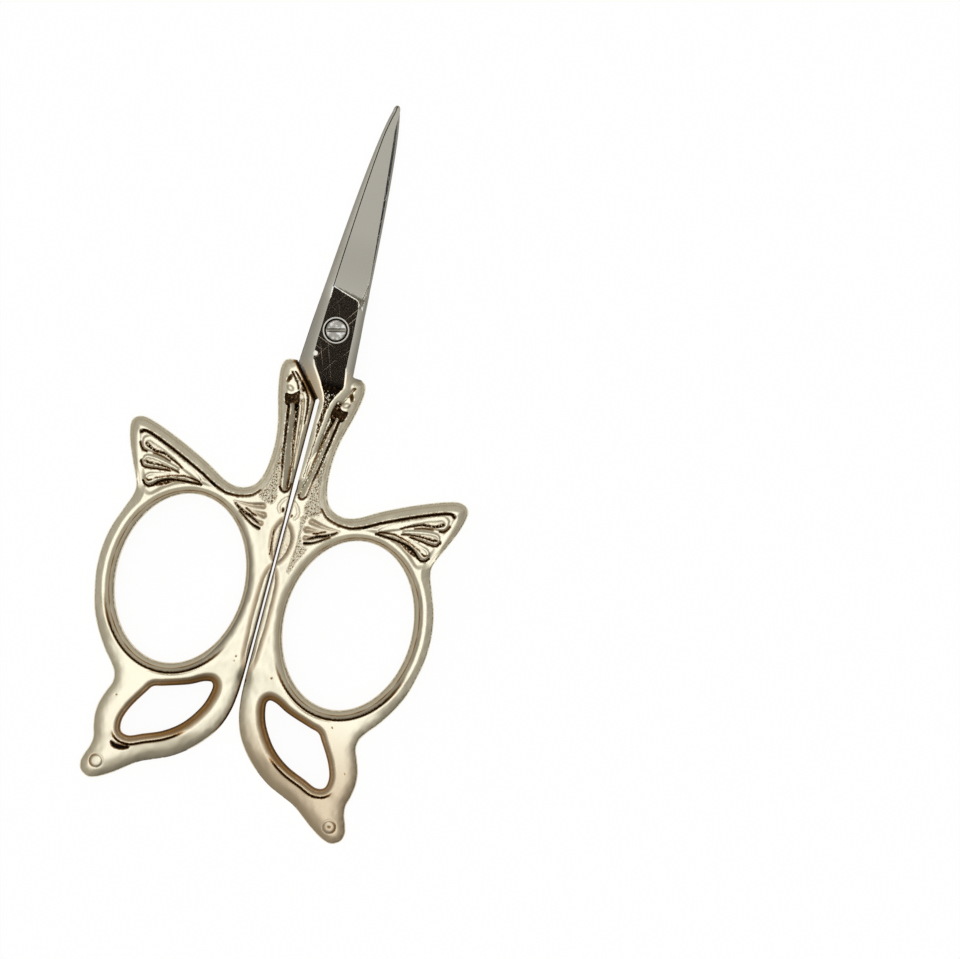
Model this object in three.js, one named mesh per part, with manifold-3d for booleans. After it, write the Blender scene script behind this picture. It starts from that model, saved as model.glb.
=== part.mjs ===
import * as THREE from 'three';
import { mergeVertices } from 'three/addons/utils/BufferGeometryUtils.js';
import Module from 'manifold-3d';

// Embroidery scissors with butterfly handles: two forged halves crossed on a slotted pivot screw.
// Millimetres. The origin is on the pivot axis, in the plane that the scissors lie on. +Y runs to
// the points and +Z up. The back half is the front half turned over about the Y axis.

const wasm = await Module();
wasm.setup();

// Whole tool
const thickness = 4.0; // lower face to upper face
const runningGap = 0.1; // between the inner faces of the two halves
const handleStagger = 0.47; // the front handle lies this much nearer the tail than the back one

// Blade
const bladeLength = 36.4; // pivot axis to point
const heelY = 6.0; // pivot axis to the heel of the blade
const tipOffset = 0.2; // the points close this far right of the centre line
const tipWidth = 0.3; // across the blunted point
const heelHalfWidth = 3.55; // centre line to spine at the heel
const spineFullness = 0.58; // power of the taper: below 1 the edge swells outwards
const edgeHalfWidth = 3.3; // centre line to cutting edge at the heel
const edgeFullness = 0.88;
const heelHeight = 1.75; // inner face to the blade's crest at the heel
const tipHeight = 0.75;
const heelBevel = 1.3; // width of the bevel along the spine at the heel
const tipBevel = 0.3;
const spineDrop = 0.6; // fall of that bevel at the heel
const grindStep = 0.2; // fall from the crest into the hollow grind
const grindHollow = 0.12; // depth of the hollow grind under a flat facet
const edgeLand = 0.2; // height of the cutting edge above the inner face

// Shank
const shankCornerX = 4.3; // lower corner on the spine side
const shankCornerY = -5.7;
const crotchY = -11.3; // where the slanted edge meets the gap between the necks
const shankEdgeX = 4.45; // edge side, where the handle begins
const shankEdgeY = -6.3;
const ricassoSpineY = 6.5; // end of the polished flat, spine side and edge side
const ricassoEdgeY = 5.1;
const shankBevel = 1.3; // width and fall of the bevels beside the polished flat
const shankBevelDrop = 0.7;
const shankTail = 4.0; // the shank runs this far into the handle

// Handle
const notchGap = 0.45; // between one half's shank and the other half's handle
const neckGap = 0.62; // between the two necks
const bodyGap = 0.34; // between the two halves of the butterfly's body
const edgeRound = 1.1; // rounding of the handle's edges, inwards and downwards
const edgeDrop = 1.2;
const hornReach = 1.15; // top of the notch to the horn's crown
const hornFall = 0.06;
const fingerHoleTopY = -30.22;
const fingerHoleWidth = 20.04;
const fingerHoleLength = 26.76;
const bodyWall = 3.41; // split of the body to the finger hole
const ringWall = 3.12; // finger hole to the outer edge of its ring
const ringStart = 30; // the ring shows as an arc between these angles
const ringEnd = -18;
const wingReach = 0.46; // wing tip beyond the ring
const wingRise = 8.22; // wing tip above the finger hole
const tailInset = 7.04; // tail nearer the centre line than the ring
const tailDrop = 20.22; // end of the tail below the finger hole

// Relief, alike on both faces
const fieldDepth = 0.5; // sunk field of the upper wing
const fieldMargin = 1.7; // finger hole to the sunk field
const petalHollow = 0.3; // the petals' spoon hollows
const petalHollowLength = 2.7;
const petalHollowWidth = 1.24;
const grooveDepth = 0.4;
const neckGroove = 0.42;
const bodyGroove = 0.34;
const hornDimpleLength = 1.8;
const hornDimpleWidth = 0.8;
const hornDimpleTurn = 110;
const tailDotDiameter = 2.0;
const tailDotInset = 2.73; // end of the tail to its dot
const tailDotTurn = 104; // direction from the tail's end to its dot, degrees from the outward axis

// Pivot screw
const headDiameter = 3.3;
const headHeight = 0.8;
const headSink = 0.15; // top of the head below the polished flat
const shoulderDiameter = 2.5;
const threadDiameter = 2.0;
const screwFit = 0.08; // clearance round the shoulder and thread and under the head
const counterboreGap = 0.25; // head to counterbore wall
const counterboreChamfer = 0.25;
const slotWidth = 0.45;
const slotDepth = 0.4;
const slotAngle = 14.8; // degrees from +X

// Fineness of the faceted solids
const splineSteps = 2; // chords between two points of an outline
const roundSides = 40;
const overcut = 1; // cutters pass the faces they cut by this much

// Places that follow from the sizes
const innerFace = (thickness + runningGap) / 2; // inner face of the front half
const fingerHoleX = bodyGap / 2 + bodyWall + fingerHoleWidth / 2;
const fingerHoleY = fingerHoleTopY - fingerHoleLength / 2;
const fingerHoleEndY = fingerHoleTopY - fingerHoleLength;
const ringX = fingerHoleX + fingerHoleWidth / 2 + ringWall;
const wingTip = [ringX + wingReach, fingerHoleTopY + wingRise];
const tailTip = [ringX - tailInset, fingerHoleEndY - tailDrop];
const slant = new THREE.Vector2(shankCornerX + neckGap / 2, shankCornerY - crotchY).normalize();
const notchTop = [shankCornerX + slant.y * notchGap, shankCornerY - slant.x * notchGap];
const notchFoot = [neckGap / 2, notchTop[1] - (notchTop[0] - neckGap / 2) * (slant.y / slant.x)];
const hornTop = [notchTop[0] + hornReach, notchTop[1] - hornFall];

// Closed meshes to solids and back

function toSolid(geometry) {
  const bare = new THREE.BufferGeometry();
  bare.setAttribute('position', geometry.getAttribute('position'));
  bare.setIndex(geometry.getIndex());
  const merged = mergeVertices(bare, 1e-5);
  const corners = merged.getIndex().array;
  const kept = [];
  for (let i = 0; i < corners.length; i += 3) {
    const [a, b, c] = corners.slice(i, i + 3);
    if (a !== b && b !== c && c !== a) kept.push(a, b, c);
  }
  const vertProperties = new Float32Array(merged.getAttribute('position').array);
  return new wasm.Manifold(new wasm.Mesh({ numProp: 3, vertProperties, triVerts: new Uint32Array(kept) }));
}

function toGeometry(solid) {
  const { vertProperties, triVerts } = solid.getMesh();
  const geometry = new THREE.BufferGeometry();
  geometry.setAttribute('position', new THREE.Float32BufferAttribute(vertProperties, 3));
  geometry.setIndex(new THREE.Uint32BufferAttribute(triVerts, 1));
  return geometry;
}

// Plane outlines, as lists of [x, y]

function smooth(points, closed = false) {
  const knots = points.map(([x, y]) => new THREE.Vector3(x, y, 0));
  const curve = new THREE.CatmullRomCurve3(knots, closed, 'centripetal');
  const spans = closed ? points.length : points.length - 1;
  const line = curve.getPoints(spans * splineSteps).map((p) => [p.x, p.y]);
  return closed ? line.slice(1) : line;
}

function ellipse(x, y, halfWidth, halfLength, from, to, count) {
  return Array.from({ length: count + 1 }, (_, i) => {
    const angle = THREE.MathUtils.degToRad(THREE.MathUtils.lerp(from, to, i / count));
    return [x + halfWidth * Math.cos(angle), y + halfLength * Math.sin(angle)];
  });
}

// A band of even width along a curve
function ribbon(points, width) {
  const line = smooth(points);
  const side = (reach) => line.map(([x, y], i) => {
    const [ax, ay] = line[Math.max(i - 1, 0)];
    const [bx, by] = line[Math.min(i + 1, line.length - 1)];
    const length = Math.hypot(bx - ax, by - ay);
    return [x - ((by - ay) / length) * reach, y + ((bx - ax) / length) * reach];
  });
  return [...side(width / 2), ...side(-width / 2).reverse()];
}

const moved = (points, [x, y]) => points.map(([px, py]) => [px + x, py + y]);
const vectors = (points) => points.map(([x, y]) => new THREE.Vector2(x, y));

// A shape whose outline runs anticlockwise, so that its holes are turned the right way too
function shapeOf(outline, holes = []) {
  const rim = vectors(outline);
  const shape = new THREE.Shape(THREE.ShapeUtils.isClockWise(rim) ? rim.reverse() : rim);
  shape.holes = holes.map((hole) => new THREE.Path(vectors(hole)));
  return shape;
}

// Handle: outlines in [distance from the centre line, height on Y], each drawn from a place above

const hornEdge = moved([
  [0, 0], [0.7, -0.45], [1, -1.25], [1.06, -2.15], [0.9, -3.65], [0.4, -6.1], [-0.27, -8.6], [-0.72, -10.55],
  [-1.04, -13.55], [-0.88, -17.05],
], hornTop);
const wingRootEdge = moved([
  [5.35, 5.27], [5.9, 4.12], [6.7, 3.37], [7.75, 2.92], [9.15, 2.82], [10.85, 3.32],
], [0, fingerHoleTopY]);
const wingEdge = moved([
  [-13.3, -3.15], [-8.3, -0.75], [-3.4, 1.1], [-1.7, 1.43], [-0.6, 1.12], [-0.03, 0.45], [0.07, -0.53],
  [-0.52, -2.87], [-1.7, -5.7],
], wingTip);
const shoulderEdge = moved([[-2.74, -0.98], [-2.72, -2.38]], [ringX, fingerHoleTopY]);
const hindwingEdge = moved([
  [-1.54, 5.03], [-2.99, 2.08], [-4.69, -0.47], [-6.04, -2.07], [-6.89, -3.47], [-7.04, -4.82],
  [-6.44, -6.47], [-5.79, -8.47], [-5.62, -10.32], [-5.89, -12.32], [-6.31, -14.02],
], [ringX, fingerHoleEndY]);
const tailEdge = moved([
  [0.9, 4.8], [1.45, 3.3], [1.72, 2], [1.35, 0.8], [0, 0], [-1.37, 0.32], [-3.5, 1.55], [-7.2, 4.3],
], tailTip);
const lobeEdge = moved([
  [10.23, -14.97], [7.83, -13.87], [5.48, -12.22], [3.33, -10.12], [1.53, -7.47], [0.53, -4.62],
  [0.13, -1.82], [0, 0.98],
], [bodyGap / 2, fingerHoleEndY]);
const bodyTop = [bodyGap / 2, fingerHoleTopY - 0.78];
const neckEnd = [neckGap / 2, fingerHoleTopY + 5.22];
const hindHole = [
  ...moved([[4.55, -2.97], [4.42, -1.52], [4.75, -1.05], [5.75, -1.17], [7.9, -2.22]], [0, fingerHoleEndY]),
  ...moved([
    [-14.89, -3.52], [-13.34, -4.02], [-12.49, -5.17], [-10.59, -8.37], [-9.94, -10.52], [-10.27, -12.05],
    [-11.44, -12.42], [-13.64, -11.57],
  ], [ringX, fingerHoleEndY]),
  ...moved([[10, -10.22], [7.4, -8.17], [5.3, -5.12]], [0, fingerHoleEndY]),
];

// Ellipse of the finger hole, grown outwards
const fingerRing = (grow) => [
  fingerHoleX, fingerHoleY, fingerHoleWidth / 2 + grow, fingerHoleLength / 2 + grow,
];

function handleOutline() {
  const ringEdge = ellipse(...fingerRing(ringWall), ringStart, ringEnd, 4);
  const rim = smooth([
    ...hornEdge, ...wingRootEdge, ...wingEdge, ...shoulderEdge, ...ringEdge, ...hindwingEdge, ...tailEdge,
    ...lobeEdge,
  ]);
  return [...rim, bodyTop, neckEnd, notchFoot, notchTop];
}

function handlePlate() {
  const holes = [ellipse(...fingerRing(0), 0, 360, roundSides).slice(1), smooth(hindHole, true)];
  const geometry = new THREE.ExtrudeGeometry(shapeOf(handleOutline(), holes), {
    depth: thickness - 2 * edgeDrop,
    bevelThickness: edgeDrop,
    bevelSize: edgeRound,
    bevelOffset: -edgeRound,
    bevelSegments: 2,
  });
  return toSolid(geometry.translate(0, 0, edgeDrop));
}

// Relief: cuts made alike into the lower and the upper face

function block(outline, height) {
  return toSolid(new THREE.ExtrudeGeometry(shapeOf(outline), { depth: height, bevelEnabled: false }));
}

function engrave(solid, cutter, depth) {
  const below = cutter.translate([0, 0, depth - overcut]);
  const above = cutter.translate([0, 0, thickness - depth]);
  return solid.subtract(below).subtract(above);
}

function hollowOut(solid, [x, y], length, width, depth, turn) {
  const bowl = new THREE.SphereGeometry(0.5, 12, 8).scale(length, width, 2 * depth);
  const cutter = toSolid(bowl.rotateZ(THREE.MathUtils.degToRad(turn)));
  return solid.subtract(cutter.translate([x, y, 0])).subtract(cutter.translate([x, y, thickness]));
}

// Upper wing: three spoon-shaped petals stand in a sunk field and draw together to one point
const wingField = [
  [-16.8, -6.85], [-13.9, -5.35], [-8.2, -2.5], [-3, -0.45], [-1.8, -0.5], [-1.7, -1.4], [-2.8, -4.6],
  [-4.2, -8.6],
];
const fieldFoot = [[-6, -12], [-14, -9]]; // closes the field under the ring
const petals = [
  {
    rim: [[-12.8, -5.7], [-9.2, -3.4], [-4.2, -1.2], [-2.5, -1.7], [-2.6, -3.1], [-4.2, -3.6], [-9.2, -4.8]],
    spoon: [-4.3, -2.5],
    turn: -22,
  },
  {
    rim: [[-11.6, -6.05], [-8.2, -5.05], [-4, -4.2], [-3.1, -5], [-3.9, -6.15], [-7.7, -5.95]],
    spoon: [-4.7, -5.15],
    turn: -8,
  },
  {
    rim: [[-12.4, -6.45], [-8.6, -6.4], [-5.4, -6.75], [-4.1, -7.7], [-4.9, -8.75], [-6.4, -8], [-8.7, -6.9]],
    spoon: [-5.4, -7.7],
    turn: 24,
  },
];

function carveWing(solid) {
  let field = block(moved([...smooth(wingField), ...fieldFoot], wingTip), overcut);
  field = field.subtract(block(ellipse(...fingerRing(fieldMargin), 0, 360, roundSides).slice(1), overcut));
  for (const { rim } of petals) {
    field = field.subtract(block(moved(smooth(rim, true), wingTip), overcut));
  }
  let carved = engrave(solid, field, fieldDepth);
  for (const { spoon, turn } of petals) {
    const [place] = moved([spoon], wingTip);
    carved = hollowOut(carved, place, petalHollowLength, petalHollowWidth, petalHollow, turn);
  }
  return carved;
}

// Neck: a pocket under the horn's dimpled knob, and two grooves that leave a raised bar
const neckPocket = moved([[-2.6, -6.15], [-2.1, -5.15], [-0.9, -5.35], [-1, -6.75], [-1.8, -6.55]], hornTop);
const neckGrooves = [
  moved([[-1.4, -6.35], [-1.85, -8.95], [-2.35, -11.95], [-2.6, -14.95], [-2.75, -18.55]], hornTop),
  moved([[-2.5, -5.65], [-3.25, -7.45], [-3.65, -9.95], [-3.8, -13.45], [-3.95, -17.45]], hornTop),
];
const [hornDimple] = moved([[-0.7, -2.95]], hornTop);

function carveNeck(solid) {
  let carved = engrave(solid, block(smooth(neckPocket, true), overcut), grooveDepth);
  for (const line of neckGrooves) {
    carved = engrave(carved, block(ribbon(line, neckGroove), overcut), grooveDepth);
  }
  return hollowOut(carved, hornDimple, hornDimpleLength, hornDimpleWidth, petalHollow, hornDimpleTurn);
}

// Butterfly's body: one groove outlines this half of its head, thorax and abdomen
const bodyLine = moved([
  [1.13, 2.62], [1.58, 1.62], [1.03, 0.32], [1.78, -0.98], [2.08, -3.18], [1.68, -5.38], [0.83, -6.98],
  [1.58, -9.08], [1.93, -12.28], [1.83, -16.28], [1.43, -20.78], [1.08, -24.98],
], [bodyGap / 2, fingerHoleTopY]);

function carveBody(solid) {
  const turn = THREE.MathUtils.degToRad(tailDotTurn);
  const [dot] = moved([[tailDotInset * Math.cos(turn), tailDotInset * Math.sin(turn)]], tailTip);
  const carved = engrave(solid, block(ribbon(bodyLine, bodyGroove), overcut), grooveDepth);
  return hollowOut(carved, dot, tailDotDiameter, tailDotDiameter, petalHollow, 0);
}

// Blade: sections from the heel to the point, spine at -X, cutting edge at +X

function bladeSection(share, lean) {
  const y = THREE.MathUtils.lerp(heelY, bladeLength, share);
  const centre = (lean * y) / bladeLength;
  const taper = Math.max(1 - share, 0);
  const spine = centre - Math.max(heelHalfWidth * taper ** spineFullness, tipWidth / 2);
  const edge = centre + Math.max(edgeHalfWidth * taper ** edgeFullness, tipWidth / 2);
  const height = THREE.MathUtils.lerp(heelHeight, tipHeight, share);
  const bevel = Math.min(THREE.MathUtils.lerp(heelBevel, tipBevel, share), (edge - spine) / 3);
  const step = Math.min(grindStep, (edge - spine) / 6);
  const crest = spine + bevel;
  const grindTop = height - step;
  const middleHeight = (grindTop + edgeLand) / 2 - grindHollow * taper;
  const wall = height - (spineDrop * bevel) / heelBevel;
  const section = [
    [spine, 0], [edge, 0], [edge, edgeLand], [(crest + edge) / 2, middleHeight],
    [crest + step, grindTop], [crest, height], [spine, wall],
  ];
  return section.map(([x, z]) => [x, y, innerFace + z]);
}

function blade(lean) {
  const shares = [-0.12, 0, 0.15, 0.32, 0.48, 0.62, 0.74, 0.84, 0.91, 0.96, 0.99, 1];
  const sections = shares.map((share) => bladeSection(share, lean));
  const sides = sections[0].length;
  const index = [];
  for (let i = 0; i + 1 < sections.length; i += 1) {
    for (let j = 0; j < sides; j += 1) {
      const a = i * sides + j;
      const b = i * sides + ((j + 1) % sides);
      index.push(a, a + sides, b, b, a + sides, b + sides);
    }
  }
  const last = (sections.length - 1) * sides;
  for (let j = 1; j + 1 < sides; j += 1) {
    index.push(0, j, j + 1, last, last + j + 1, last + j);
  }
  const geometry = new THREE.BufferGeometry();
  geometry.setAttribute('position', new THREE.Float32BufferAttribute(sections.flat(2), 3));
  geometry.setIndex(index);
  return toSolid(geometry);
}

// Shank: a bevelled flat that ends at the ricasso line and at the inner face
function shank(handleDrop) {
  const topY = Math.max(ricassoSpineY, ricassoEdgeY) + shankBevel;
  const tailY = crotchY - shankTail;
  const outline = [
    [-heelHalfWidth, topY], [-shankCornerX, shankCornerY], [neckGap / 2, crotchY], [neckGap / 2, tailY],
    [shankEdgeX, tailY], [shankEdgeX, shankEdgeY - handleDrop], [heelHalfWidth, topY],
  ];
  const blank = new THREE.ExtrudeGeometry(shapeOf(outline), {
    depth: thickness - innerFace - shankBevelDrop + overcut,
    bevelThickness: shankBevelDrop,
    bevelSize: shankBevel,
    bevelOffset: -shankBevel,
    bevelSegments: 1,
  }).translate(0, 0, innerFace - overcut);
  const reach = 4 * shankCornerX;
  const under = new THREE.BoxGeometry(reach, 4 * reach, thickness);
  under.translate(0, 0, innerFace - thickness / 2);
  const ahead = new THREE.BoxGeometry(2 * reach, reach, 3 * thickness).translate(0, reach / 2, 0);
  ahead.rotateZ(Math.atan2(ricassoEdgeY - ricassoSpineY, 2 * heelHalfWidth));
  ahead.translate(0, (ricassoSpineY + ricassoEdgeY) / 2, 0);
  return toSolid(blank).subtract(toSolid(under)).subtract(toSolid(ahead));
}

// Pivot: turned profiles in [radius, height]

const headTop = thickness - headSink;
const headSeat = headTop - headHeight;

function turned(profile) {
  return toSolid(new THREE.LatheGeometry(vectors(profile), roundSides).rotateX(Math.PI / 2));
}

function pivotScrew() {
  const head = headDiameter / 2;
  const shoulder = shoulderDiameter / 2;
  const thread = threadDiameter / 2;
  const shoulderEnd = innerFace + screwFit;
  const body = turned([
    [0, 0], [thread, 0], [thread, shoulderEnd], [shoulder, shoulderEnd], [shoulder, headSeat],
    [head, headSeat], [head, headTop], [0, headTop],
  ]);
  const slot = new THREE.BoxGeometry(2 * headDiameter, slotWidth, slotDepth + overcut);
  slot.translate(0, 0, headTop - slotDepth + (slotDepth + overcut) / 2);
  slot.rotateZ(THREE.MathUtils.degToRad(slotAngle));
  return body.subtract(toSolid(slot));
}

function frontBore() {
  const hole = shoulderDiameter / 2 + screwFit;
  const bore = headDiameter / 2 + counterboreGap;
  const mouth = bore + counterboreChamfer;
  const floor = headSeat - screwFit;
  return turned([
    [0, 0], [hole, 0], [hole, floor], [bore, floor], [bore, thickness - counterboreChamfer],
    [mouth, thickness], [mouth, thickness + overcut], [0, thickness + overcut],
  ]);
}

function backBore() {
  const hole = threadDiameter / 2 + screwFit;
  return turned([[0, -overcut], [hole, -overcut], [hole, thickness + overcut], [0, thickness + overcut]]);
}

// Each half is forged in one: handle, shank and blade, then the relief of its handle

function forgedHalf(lean, handleDrop) {
  const drop = [0, -handleDrop, 0];
  const rise = [0, handleDrop, 0];
  const blank = handlePlate().translate(drop).add(shank(handleDrop)).add(blade(lean));
  return carveBody(carveNeck(carveWing(blank.translate(rise)))).translate(drop);
}

const frontHalf = toGeometry(forgedHalf(tipOffset, handleStagger).subtract(frontBore()));
const backHalf = toGeometry(forgedHalf(-tipOffset, 0).subtract(backBore()));
backHalf.rotateY(Math.PI).translate(0, 0, thickness);

const scissors = new THREE.Group();

function addPiece(name, geometry, color, roughness) {
  const material = new THREE.MeshStandardMaterial({ color, roughness, metalness: 1 });
  const piece = new THREE.Mesh(geometry, material);
  piece.name = name;
  scissors.add(piece);
}

addPiece('front_half', frontHalf, 0xd8c193, 0.25);
addPiece('back_half', backHalf, 0xd8c193, 0.25);
addPiece('pivot_screw', toGeometry(pivotScrew()), 0xc9c8c2, 0.2);

export default scissors;
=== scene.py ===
import math

import bmesh
import bpy
import numpy as np
from mathutils import Matrix, Vector
from mathutils.geometry import delaunay_2d_cdt


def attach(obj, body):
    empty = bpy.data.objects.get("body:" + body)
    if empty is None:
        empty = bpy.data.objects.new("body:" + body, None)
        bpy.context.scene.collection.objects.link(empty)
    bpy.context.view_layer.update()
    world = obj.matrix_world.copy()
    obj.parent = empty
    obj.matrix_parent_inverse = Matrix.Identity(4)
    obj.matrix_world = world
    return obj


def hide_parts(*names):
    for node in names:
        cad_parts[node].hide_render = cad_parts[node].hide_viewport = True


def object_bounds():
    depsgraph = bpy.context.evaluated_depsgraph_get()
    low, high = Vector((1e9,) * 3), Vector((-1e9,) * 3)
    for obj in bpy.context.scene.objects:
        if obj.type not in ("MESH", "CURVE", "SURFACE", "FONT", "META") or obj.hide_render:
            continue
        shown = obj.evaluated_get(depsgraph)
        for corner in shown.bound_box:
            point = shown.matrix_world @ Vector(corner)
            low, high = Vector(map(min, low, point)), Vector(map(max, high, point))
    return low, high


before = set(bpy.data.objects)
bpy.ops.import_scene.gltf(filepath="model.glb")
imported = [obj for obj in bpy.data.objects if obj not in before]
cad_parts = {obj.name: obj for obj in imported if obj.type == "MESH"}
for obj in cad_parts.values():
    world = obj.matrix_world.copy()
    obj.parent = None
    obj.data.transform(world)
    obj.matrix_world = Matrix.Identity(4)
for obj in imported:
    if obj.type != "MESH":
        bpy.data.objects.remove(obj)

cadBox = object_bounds()
mm = 0.001

# Embroidery scissors with butterfly handles. Shapes are drawn in millimetres in the frame's own axes.
# A half is drawn as the front one lies: inner face down, handle to the right.

scissors = dict(
    thickness=(cadBox[1].z - cadBox[0].z) / mm,  # lower face to upper face
    runningGap=0.1,  # between the inner faces of the two halves
    stagger=0.47,  # the front handle hangs this much lower than the back one
)
innerFace = (scissors["thickness"] + scissors["runningGap"]) / 2


# small helpers for drawing lines

def smoothLine(knots, closed=False, spacing=0.17):  # curve through the knots, a point about every spacing
    knots = np.array(knots, float)
    if closed:
        ends = np.vstack([knots[-1:], knots, knots[:2]])
    else:
        ends = np.vstack([2 * knots[:1] - knots[1:2], knots, 2 * knots[-1:] - knots[-2:-1]])
    line = []
    for i in range(1, len(ends) - 2):
        p = ends[i - 1:i + 3]
        t = np.concatenate([[0], np.cumsum(np.sqrt(np.hypot(*np.diff(p, axis=0).T)))])
        count = max(1, round(np.hypot(*(p[2] - p[1])) / spacing))
        at = (t[1] + (t[2] - t[1]) * np.arange(count) / count)[:, None]
        a = [p[k] + (p[k + 1] - p[k]) * (at - t[k]) / (t[k + 1] - t[k]) for k in range(3)]
        b = [a[k] + (a[k + 1] - a[k]) * (at - t[k]) / (t[k + 2] - t[k]) for k in range(2)]
        line.append(b[0] + (b[1] - b[0]) * (at - t[1]) / (t[2] - t[1]))
    if not closed:
        line.append(knots[-1:])
    return np.vstack(line)


def straight(points, spacing):  # a polyline cut into short steps
    points = np.array(points, float)
    line = [points[:1]]
    for a, b in zip(points[:-1], points[1:]):
        count = max(1, round(np.hypot(*(b - a)) / spacing))
        line.append(a + (b - a) * (np.arange(1, count + 1) / count)[:, None])
    return np.vstack(line)


def arc(centre, halfWidth, halfLength, start, end, count):  # part of an ellipse, angles in degrees
    angle = np.radians(np.linspace(start, end, count + 1))
    return np.column_stack([centre[0] + halfWidth * np.cos(angle), centre[1] + halfLength * np.sin(angle)])


def ramp(low, high, value):  # eased step from 0 to 1
    t = np.clip((value - low) / (high - low), 0, 1)
    return t * t * (3 - 2 * t)


def mixed(pair, share):  # value along a line, from its start to its end
    first, last = pair if isinstance(pair, tuple) else (pair, pair)
    return first + (last - first) * share


def measure(points, line, reach):  # distance to a line where under reach, and how far along the line that is
    gap = np.full(len(points), float(reach))
    along = np.zeros(len(points))
    steps = np.hypot(*np.diff(line, axis=0).T)
    starts = np.concatenate([[0], np.cumsum(steps)])
    for first in range(0, len(line) - 1, 24):
        part = line[first:first + 25]
        low, high = part.min(0) - reach, part.max(0) + reach
        near = np.flatnonzero(((points > low) & (points < high)).all(1))
        if not len(near):
            continue
        for k in range(len(part) - 1):
            run = part[k + 1] - part[k]
            t = np.clip((points[near] - part[k]) @ run / (run @ run), 0, 1)
            d = np.hypot(*(points[near] - part[k] - t[:, None] * run).T)
            closer = d < gap[near]
            gap[near[closer]] = d[closer]
            along[near[closer]] = (starts[first + k] + t[closer] * steps[first + k]) / starts[-1]
    return gap, along


def inside(points, loop):  # which points lie within a closed loop
    odd = np.zeros(len(points), bool)
    following = np.roll(loop, -1, axis=0)
    for first in range(0, len(loop), 16):
        a, b = loop[first:first + 16], following[first:first + 16]
        low, high = min(a[:, 1].min(), b[:, 1].min()), max(a[:, 1].max(), b[:, 1].max())
        near = np.flatnonzero((points[:, 1] >= low) & (points[:, 1] <= high))
        x, y = points[near].T
        for (ax, ay), (bx, by) in zip(a, b):
            if ay != by:
                odd[near] ^= ((ay > y) != (by > y)) & (x < ax + (y - ay) * (bx - ax) / (by - ay))
    return odd


def lumps(points, size, seed):  # smooth uneven field, about -1 to 1, as on a hand-finished casting
    dice = np.random.default_rng(seed)
    field = np.zeros(len(points))
    for k in range(9):
        turn, phase = dice.uniform(0, math.tau, 2)
        waves = points @ [math.cos(turn), math.sin(turn)] * math.tau
        field += np.sin(waves / (size * dice.uniform(0.6, 1.6)) + phase)
    return field / 3


def closedLine(loop):
    return np.vstack([loop, loop[:1]])


def bearing(points, centre, halfWidth=1, halfLength=1):  # in degrees, 0 is away from the body
    away = (points - centre) / [halfWidth, halfLength]
    return np.degrees(np.arctan2(away[:, 1], away[:, 0]))


def sideways(line, reach, closed=False):  # the line moved to its left
    if closed:
        run = np.roll(line, -1, axis=0) - np.roll(line, 1, axis=0)
    else:
        run = np.gradient(line, axis=0)
    run = run / np.hypot(*run.T)[:, None]
    return line + np.column_stack([-run[:, 1], run[:, 0]]) * np.asarray(reach).reshape(-1, 1)


# handle outline: [distance from the centre line, height], as the back handle lies

handle = dict(
    horn=[
        [5.8, -6.05], [6.5, -6.5], [6.8, -7.3], [6.86, -8.2], [6.7, -9.7], [6.2, -12.15], [5.53, -14.65],
        [5.08, -16.6], [4.76, -19.6], [4.92, -23.1],
    ],
    wing=[
        [5.35, -24.95], [5.9, -26.1], [6.7, -26.85], [7.75, -27.3], [9.15, -27.4], [10.85, -26.9],
        [13.9, -25.15], [18.9, -22.75], [23.8, -20.9], [25.5, -20.57], [26.6, -20.88], [27.17, -21.55],
        [27.25, -22.53], [26.68, -24.87], [25.5, -27.7], [24, -31.2], [24.02, -32.6],
    ],
    hindwing=[
        [25.2, -51.95], [23.75, -54.9], [22.05, -57.45], [20.7, -59.05], [19.85, -60.45], [19.7, -61.8],
        [20.3, -63.45], [20.95, -65.45], [21.12, -67.3], [20.85, -69.3], [20.43, -71], [20.6, -72.4],
        [21.15, -73.9], [21.42, -75.2], [21.05, -76.4], [19.7, -77.18], [18.33, -76.88], [16.2, -75.65],
        [12.5, -72.9], [10.4, -71.95], [8, -70.85], [5.65, -69.2], [3.5, -67.1], [1.7, -64.45],
        [0.7, -61.6], [0.3, -58.8], [0.17, -56],
    ],
    fingerHole=dict(centre=(13.6, -43.6), halfWidth=10.02, halfLength=13.38),
    ringWall=3.12,  # finger hole to the outer edge of its ring
    hindHole=[
        [4.55, -59.95], [4.42, -58.5], [4.75, -58.03], [5.75, -58.15], [7.9, -59.2], [11.85, -60.5],
        [13.4, -61], [14.25, -62.15], [16.15, -65.35], [16.8, -67.5], [16.47, -69.03], [15.3, -69.4],
        [13.1, -68.55], [10, -67.2], [7.4, -65.15], [5.3, -62.1],
    ],
    split=[[0.17, -56], [0.17, -31], [0.31, -25]],  # straight inner edge of the body
    notchTop=[4.647, -5.986],  # the other half's shank passes along this slanted edge
    notchFoot=[0.31, -11.254],
)

hole = handle["fingerHole"]
ringArc = arc(hole["centre"], hole["halfWidth"] + handle["ringWall"],
              hole["halfLength"] + handle["ringWall"], 30, -18, 4)
outerEdge = smoothLine([*handle["horn"], *handle["wing"], *ringArc, *handle["hindwing"]])
splitEdge = straight(handle["split"], 0.3)
neckEdge = straight([handle["split"][-1], handle["notchFoot"]], 0.3)
notchEdge = straight([handle["notchFoot"], handle["notchTop"], handle["horn"][0]], 0.2)
fingerLoop = arc(hole["centre"], hole["halfWidth"], hole["halfLength"], 0, 360, 420)[:-1]
hindLoop = smoothLine(handle["hindHole"], closed=True)

# relief of the handle: what is cut into its face
# a pair gives the value at the start and at the end of a line
# over marks what only the face over the other half's shank has, and open what only the other face has

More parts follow.
